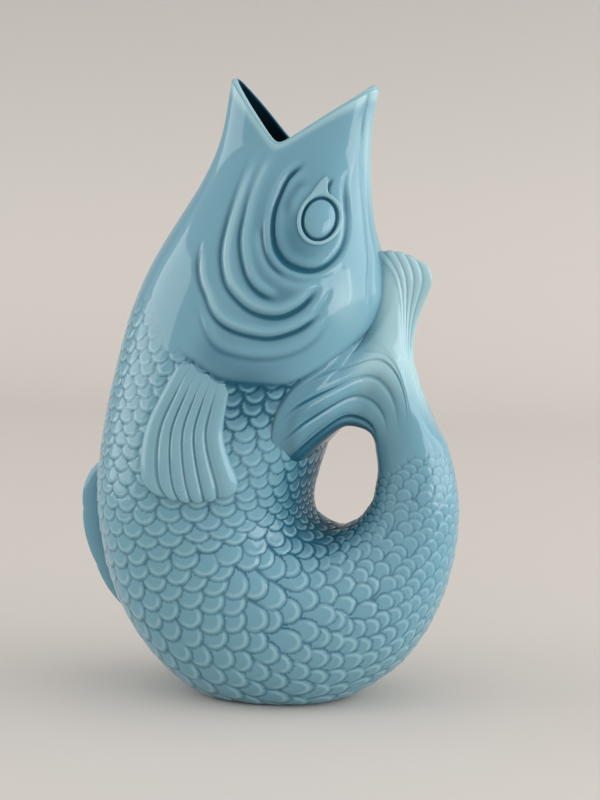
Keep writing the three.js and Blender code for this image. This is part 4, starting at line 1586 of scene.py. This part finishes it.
class CARAFE_OT_tail_fin(bpy.types.Operator):
    """Build the ribbed tail fin that arches over the finger hole"""

    bl_idname = "carafe.tail_fin"
    bl_label = "Tail Fin"

    def execute(self, context):
        settings = context.scene.carafe_fins
        glaze = blue_glaze(context.scene.carafe_glaze)
        rings, numbers = fin_surface()
        number = np.tile(numbers, FIN_ROWS)
        share = np.repeat(np.linspace(0, 1, FIN_ROWS), FIN_COLUMNS)
        depth = np.interp(number, *np.array(FIN_RIB_DEPTH).T)
        in_lobe = 1 - smooth_step(number, *FIN_LOBE_EDGE)
        lobe_end = smooth_step(share, *FIN_LOBE_END) * in_lobe
        from_crease, _, _ = along_line(rings.reshape(-1, 3)[:, [0, 2]], fine_line(FIN_CREASE))
        depth = depth * smooth_step(share, *FIN_RIB_START) * (1 - FIN_LOBE_LOSS * lobe_end)
        off_crease = smooth_step(from_crease, *FIN_RIB_CREASE)
        depth = depth * np.maximum(off_crease, smooth_step(number, *FIN_RIB_UPPER))
        on_lobe = smooth_step(share, *FIN_LOBE_START) * in_lobe
        # Painted light pales the upper fin and the bevel by the crease, and painted shade darkens the lobe
        painted_light = FIN_PAINTED_LIGHT * smooth_step(number, *FIN_LIGHT_ACROSS) * smooth_step(share, *FIN_LIGHT_ALONG)
        painted_light = painted_light * (1 - on_lobe) * smooth_step(from_crease, *FIN_LIGHT_CREASE) - FIN_LOBE_SHADE * on_lobe
        attributes = {
            "skin_normal": ring_normals(rings).reshape(-1, 3),
            "rib_place": np.interp(number, FIN_GROOVES, np.arange(len(FIN_GROOVES))),
            "rib_depth": depth * settings.tail_rib_depth,
            "glaze_depth": HOLE_SHADE * (1 - smooth_step(number, *FIN_HOLE_SHADE_END)) - painted_light,
        }
        faces, caps = closed_tube(FIN_ROWS, FIN_COLUMNS)
        mesh = mesh_from("tail_fin_ribbed", rings.reshape(-1, 3), faces, attributes, caps)
        piece = add_piece(mesh.name, mesh)
        run_tree(piece, rib_tree(), {"Groove Sharpness": FIN_SHARPNESS}, glaze)
        set_normals(piece.data, self.root_normals(piece.data, rings, share))
        finish_piece(piece, "tail_fin")
        return {"FINISHED"}

    def root_normals(self, mesh, rings, share):
        """Shading normals that run out of the tail's own at the root of the fin; zero further on."""
        points, normals = trunk_skin().at(np.full((1, COLUMNS), TAIL_END))
        apart = np.linalg.norm(rings[0][:, None] - points[0][None, :], axis=-1)
        tail = np.tile(normals[0][np.argmin(apart, axis=1)], (FIN_ROWS, 1))
        own = smooth_step(share, 0, FIN_BLEND)[:, None]
        return np.where(share[:, None] < FIN_BLEND, tail * (1 - own) + read_points(mesh, "normal") * own, 0)


# Side fins


class CARAFE_OT_pectoral_fins(bpy.types.Operator):
    """Build the ribbed fin on each side"""

    bl_idname = "carafe.pectoral_fins"
    bl_label = "Pectoral Fins"

    def execute(self, context):
        settings = context.scene.carafe_fins
        glaze = blue_glaze(context.scene.carafe_glaze)
        tree = rib_tree()
        for side, label in SIDES:
            piece = self.fin(side, label, settings)
            run_tree(piece, tree, {"Groove Sharpness": PECTORAL_SHARPNESS}, glaze)
            finish_piece(piece, f"{label}_pectoral_fin")
        return {"FINISHED"}

    def fin(self, side, label, settings):
        down, across = np.meshgrid(
            np.linspace(0, 1, PECTORAL_ROWS), np.linspace(0, 1, PECTORAL_COLUMNS), indexing="ij"
        )
        down = down.reshape(-1)
        across = across.reshape(-1)
        rib = np.interp(across, PECTORAL_GROOVES, np.arange(len(PECTORAL_GROOVES)))
        from_middle = np.abs(2 * (rib - np.floor(rib)) - 1)
        front = spline_through(PECTORAL_FRONT, down * (len(PECTORAL_FRONT) - 1))
        back = spline_through(PECTORAL_BACK, down * (len(PECTORAL_BACK) - 1))
        places = front + (back - front) * across[:, None]
        onward = unit(np.stack([(back - front)[:, 1], -(back - front)[:, 0]], 1))
        round_end = PECTORAL_BULGE * np.sin(np.pi * across) + PECTORAL_SCALLOP * (1 - from_middle**2)
        places = places + onward * (round_end * smooth_step(down, *PECTORAL_BULGE_SPAN))[:, None]
        height = PECTORAL_ROOT_HEIGHT + (1 - PECTORAL_ROOT_HEIGHT) * smooth_step(down, *PECTORAL_RISE)
        top = settings.pectoral_height / MM * height
        edge = rounded_off(np.abs(2 * across - 1), PECTORAL_EDGE_POWER)
        end = rounded_off(down, PECTORAL_END_POWER)
        step = PECTORAL_STEP + (1 - PECTORAL_STEP) * smooth_step(down, *PECTORAL_STEP_SPAN)
        lift = (top + PECTORAL_SUNK) * edge * end * step - PECTORAL_SUNK
        outside, normal = on_flank(places, lift, side)
        inside, _ = on_flank(places, np.full(len(places), -PECTORAL_BACK_SUNK), side)
        grid = (PECTORAL_ROWS, PECTORAL_COLUMNS)
        back_columns = np.linspace(PECTORAL_COLUMNS - 1, 0, PECTORAL_BACK_COLUMNS).round().astype(int)
        rings = np.concatenate(
            [outside.reshape(*grid, 3), inside.reshape(*grid, 3)[:, back_columns]], axis=1
        )
        columns = rings.shape[1]

        def with_back(values):
            values = values.reshape(*grid, *values.shape[1:])
            blank = np.zeros((PECTORAL_ROWS, len(back_columns), *values.shape[2:]))
            return np.concatenate([values, blank], axis=1).reshape(-1, *values.shape[2:])

        depth = settings.pectoral_rib_depth * smooth_step(down, *PECTORAL_RIB_START) * edge * end
        attributes = {
            "skin_normal": with_back(normal),
            "rib_place": with_back(rib.clip(0, len(PECTORAL_GROOVES) - SHORT_OF_LAST)),
            "rib_depth": with_back(depth),
            "glaze_depth": with_back(np.full(len(places), PECTORAL_GLAZE)),
        }
        caps = [self.cap(0, columns), self.cap((PECTORAL_ROWS - 1) * columns, columns)[:, ::-1]]
        faces = np.concatenate([tube_faces(PECTORAL_ROWS, columns, False), *caps])
        mesh = mesh_from(f"{label}_fin", rings.reshape(-1, 3), faces, attributes)
        return add_piece(f"{label}_fin_ribbed", mesh)

    def cap(self, start, columns):
        """Closes one end: the fin's edge against the short row of points behind it."""
        outer = np.arange(PECTORAL_COLUMNS)
        inner_count = columns - PECTORAL_COLUMNS
        behind = columns - 1 - np.round(outer * (inner_count - 1) / (PECTORAL_COLUMNS - 1)).astype(int)
        quads = np.stack([outer[1:], outer[:-1], behind[:-1], behind[1:]], 1)
        return quads + start


# Belly fin


class CARAFE_OT_belly_fin(bpy.types.Operator):
    """Build the low scalloped crest on the belly"""

    bl_idname = "carafe.belly_fin"
    bl_label = "Belly Fin"

    def execute(self, context):
        settings = context.scene.carafe_fins
        glaze = blue_glaze(context.scene.carafe_glaze)
        share = np.linspace(0, 1, BELLY_FIN_ROWS)
        sections = sections_at(np.interp(share, (0, 1), BELLY_FIN_SPAN))
        hump = np.sin(np.pi * share.clip(*BELLY_FIN_ENDS) ** BELLY_FIN_LEAN) ** BELLY_FIN_FULLNESS
        scallop = np.abs(np.sin(np.pi * BELLY_FIN_SCALLOPS * share)) ** SCALLOP_FULLNESS
        top = settings.belly_fin_height / MM * hump * (1 - SCALLOP_DEPTH + SCALLOP_DEPTH * scallop)
        front = BELLY_FIN_COLUMNS // 2 + 1
        turn = np.linspace(0, np.pi, front)
        rise = np.sin(turn) ** BELLY_FIN_EDGE
        half = BELLY_FIN_FOOT - BELLY_FIN_TAPER * rise
        behind = np.linspace(-BELLY_FIN_BACK, BELLY_FIN_BACK, BELLY_FIN_COLUMNS - front)
        across = np.concatenate([np.cos(turn) * half, behind])
        rings = np.empty((BELLY_FIN_ROWS, BELLY_FIN_COLUMNS, 3))
        for i in range(BELLY_FIN_ROWS):
            out = np.full(BELLY_FIN_COLUMNS, sections.reach[i] - BELLY_FIN_BACK_SUNK)
            out[:front] = sections.reach[i] - BELLY_FIN_SUNK + (top[i] + BELLY_FIN_SUNK) * rise
            place = sections.centre[i] + sections.outward[i] * out[:, None]
            rings[i] = np.stack([place[:, 0], across, place[:, 1]], 1)
        depth = np.full((BELLY_FIN_ROWS, BELLY_FIN_COLUMNS), BELLY_FIN_BACK_GLAZE)
        # Painted shade over the crest, deepest where glaze pools at its foot
        depth[:, :front] = BELLY_FIN_SHADE + BELLY_FIN_FOOT_SHADE * np.clip(1 - rise, 0, 1) ** 2
        faces, _ = closed_tube(BELLY_FIN_ROWS, BELLY_FIN_COLUMNS)
        mesh = mesh_from("belly_crest", rings.reshape(-1, 3), faces, {"glaze_depth": depth.reshape(-1)})
        mesh.materials.append(glaze)
        finish_piece(add_piece("belly_crest", mesh), "belly_fin")
        return {"FINISHED"}


# Eyes


class CARAFE_OT_eyes(bpy.types.Operator):
    """Build each eyeball and the lid drawn round it"""

    bl_idname = "carafe.eyes"
    bl_label = "Eyes"

    def execute(self, context):
        settings = context.scene.carafe_fins
        glaze = blue_glaze(context.scene.carafe_glaze)
        for side, label in SIDES:
            for mesh, node in (
                (self.eyeball(side, label, settings.eye_dome / MM), f"{label}_eye"),
                (self.lid(side, label), f"{label}_eye_ring"),
            ):
                mesh.materials.append(glaze)
                finish_piece(add_piece(mesh.name, mesh), node)
        return {"FINISHED"}

    def eyeball(self, side, label, dome):
        turn = np.arange(EYE_COLUMNS) * 2 * np.pi / EYE_COLUMNS
        radius = np.sin(np.linspace(EYE_INNERMOST, np.pi / 2, EYE_ROWS))
        radius = np.concatenate([[1.0], radius[::-1]])
        places = np.stack([np.outer(radius, np.cos(turn)), np.outer(radius, np.sin(turn))], -1)
        places = places * [EYE_HALF_WIDTH, EYE_HALF_HEIGHT] + EYE_PLACE
        lift = dome * np.sqrt(np.clip(1 - radius**2, 0, 1)) - EYE_EDGE_SUNK
        lift[0] = -EYE_SUNK
        points, _ = on_flank(places.reshape(-1, 2), np.repeat(lift, EYE_COLUMNS), side)
        faces, _ = closed_tube(len(radius), EYE_COLUMNS)
        shade = np.repeat(np.where(radius > EYE_EDGE_START, EYE_EDGE_GLAZE, EYE_GLAZE), EYE_COLUMNS)
        return mesh_from(f"{label}_eyeball", points, faces, {"glaze_depth": shade})

    def lid(self, side, label):
        turn = np.arange(LID_STEPS) * 2 * np.pi / LID_STEPS
        around = np.arange(LID_PROFILE) * 2 * np.pi / LID_PROFILE
        across = 0.5 - 0.5 * np.cos(around)
        rise = np.clip(np.sin(turn), 0, 1)
        horn = np.where(np.cos(turn) > 0, rise**TEAR_BACK_POWER, rise**TEAR_FRONT_POWER)[:, None]
        grow = LID_GAP + LID_WIDTH * across[None, :]
        x = (EYE_HALF_WIDTH + grow) * np.cos(turn)[:, None] + TEAR_LEAN * horn * across
        z = (EYE_HALF_HEIGHT + grow + TEAR_LENGTH * horn * across) * np.sin(turn)[:, None]
        places = np.stack([x, z], -1) + EYE_PLACE
        up = np.sin(around)
        lift = np.where(up >= 0, LID_HEIGHT * np.abs(up) ** LID_FULLNESS, -LID_SUNK) * np.ones((LID_STEPS, 1))
        points, _ = on_flank(places.reshape(-1, 2), lift.reshape(-1), side)
        faces = tube_faces(LID_STEPS, LID_PROFILE, True)
        shade = np.where(up > LID_TOP_START, LID_TOP_GLAZE, LID_SIDE_GLAZE) * np.ones((LID_STEPS, 1))
        return mesh_from(f"{label}_eyelid", points, faces, {"glaze_depth": shade.reshape(-1)})


# Stage


def backdrop_paper(settings):
    """Matt paper that goes from the floor's colour to the wall's darker one, painted shade, along the sweep
    between them.
    """
    material, tree, shader = new_material("backdrop_paper")
    where = add_node(tree, "ShaderNodeTexCoord").outputs["Object"]
    axes = add_node(tree, "ShaderNodeSeparateXYZ", {"Vector": where})
    height = Field(tree, axes.outputs["Z"]).mapped(0.0, SWEEP_HEIGHT * MM)
    ramp = add_node(tree, "ShaderNodeValToRGB", {"Fac": height})
    ramp.color_ramp.elements[0].color = linear(settings.floor_colour)
    # The wall's darker colour is painted shade
    ramp.color_ramp.elements[1].color = linear(settings.shaded_wall_colour)
    tree.links.new(ramp.outputs["Color"], shader.inputs["Base Color"])
    shader.inputs["Roughness"].default_value = PAPER_ROUGHNESS
    return material


def aim(name, data, target, azimuth, elevation, distance):
    """Adds a light or a camera that looks at its target; its angles are in radians."""
    level = math.cos(elevation)
    away = Vector((math.sin(azimuth) * level, -math.cos(azimuth) * level, math.sin(elevation)))
    made = bpy.data.objects.new(name, data)
    made.location = Vector(target) + away * distance
    made.rotation_euler = away.to_track_quat("Z", "Y").to_euler()
    bpy.context.scene.collection.objects.link(made)
    return made


def add_softbox(name, azimuth, elevation, distance, size, power):
    """A soft light that looks at the carafe's middle; its angles are in degrees, its sizes in metres."""
    lamp = bpy.data.lights.new(name, "AREA")
    lamp.shape = "RECTANGLE"
    lamp.size, lamp.size_y = size
    lamp.energy = power
    aim(name, lamp, LIGHT_TARGET, math.radians(azimuth), math.radians(elevation), distance)


class CARAFE_OT_stage(bpy.types.Operator):
    """Build the pale backdrop, the soft lights and the camera"""

    bl_idname = "carafe.stage"
    bl_label = "Stage"

    def execute(self, context):
        settings = context.scene.carafe_stage
        self.backdrop(settings)
        self.lights(context.scene)
        self.camera(context.scene, settings)
        context.scene.view_settings.view_transform = "Standard"
        return {"FINISHED"}

    def backdrop(self, settings):
        bend = np.linspace(0, np.pi / 2, SWEEP_ROWS)
        wall_y = FLOOR_BACK + SWEEP_HEIGHT
        floor_y = np.concatenate([[FLOOR_FRONT], FLOOR_BACK + SWEEP_HEIGHT * np.sin(bend), [wall_y]])
        floor_z = np.concatenate([[0], SWEEP_HEIGHT * (1 - np.cos(bend)), [WALL_TOP]])
        count = len(floor_y)
        sides = (-BACKDROP_HALF_WIDTH, BACKDROP_HALF_WIDTH)
        points = np.concatenate([np.stack([np.full(count, x), floor_y, floor_z], 1) for x in sides])
        row = np.arange(count - 1)
        faces = np.stack([row, row + count, row + count + 1, row + 1], 1)
        mesh = bpy.data.meshes.new("backdrop")
        mesh.from_pydata((points * MM).tolist(), [], faces.tolist())
        mesh.shade_smooth()
        mesh.materials.append(backdrop_paper(settings))
        add_piece("backdrop", mesh)

    def lights(self, scene):
        world = bpy.data.worlds.new("studio")
        world.use_nodes = True
        background = world.node_tree.nodes["Background"]
        background.inputs["Color"].default_value = SKY_COLOUR
        background.inputs["Strength"].default_value = SKY_STRENGTH
        scene.world = world
        for softbox in SOFTBOXES:
            add_softbox(*softbox)

    def camera(self, scene, settings):
        data = bpy.data.cameras.new("camera")
        data.lens = settings.lens
        data.sensor_width = SENSOR_WIDTH
        view = (settings.azimuth, settings.elevation, settings.distance)
        scene.camera = aim("camera", data, CAMERA_TARGET, *view)


class CARAFE_PT_panel(bpy.types.Panel):
    """Pieces of the carafe and their settings"""

    bl_idname = "CARAFE_PT_panel"
    bl_label = "Fish Carafe"
    bl_space_type = "VIEW_3D"
    bl_region_type = "UI"
    bl_category = "Carafe"

    def draw(self, context):
        for operator in OPERATORS:
            self.layout.operator(operator.bl_idname)
        for name in SETTINGS:
            box = self.layout.box()
            group = getattr(context.scene, name)
            for label in group.__annotations__:
                box.prop(group, label)


OPERATORS = (
    CARAFE_OT_trunk,
    CARAFE_OT_tail_fin,
    CARAFE_OT_pectoral_fins,
    CARAFE_OT_belly_fin,
    CARAFE_OT_eyes,
    CARAFE_OT_stage,
)
SETTINGS = {
    "carafe_trunk": CarafeTrunkSettings,
    "carafe_fins": CarafeFinSettings,
    "carafe_glaze": CarafeGlazeSettings,
    "carafe_stage": CarafeStageSettings,
}
CLASSES = (*SETTINGS.values(), *OPERATORS, CARAFE_PT_panel)


def register():
    for cls in CLASSES:
        bpy.utils.register_class(cls)
    for name, group in SETTINGS.items():
        setattr(bpy.types.Scene, name, bpy.props.PointerProperty(type=group))


def unregister():
    for name in SETTINGS:
        delattr(bpy.types.Scene, name)
    for cls in reversed(CLASSES):
        bpy.utils.unregister_class(cls)


def main():
    register()
    bpy.ops.carafe.trunk()
    bpy.ops.carafe.tail_fin()
    bpy.ops.carafe.pectoral_fins()
    bpy.ops.carafe.belly_fin()
    bpy.ops.carafe.eyes()
    bpy.ops.carafe.stage()


if __name__ == "__main__":
    main()
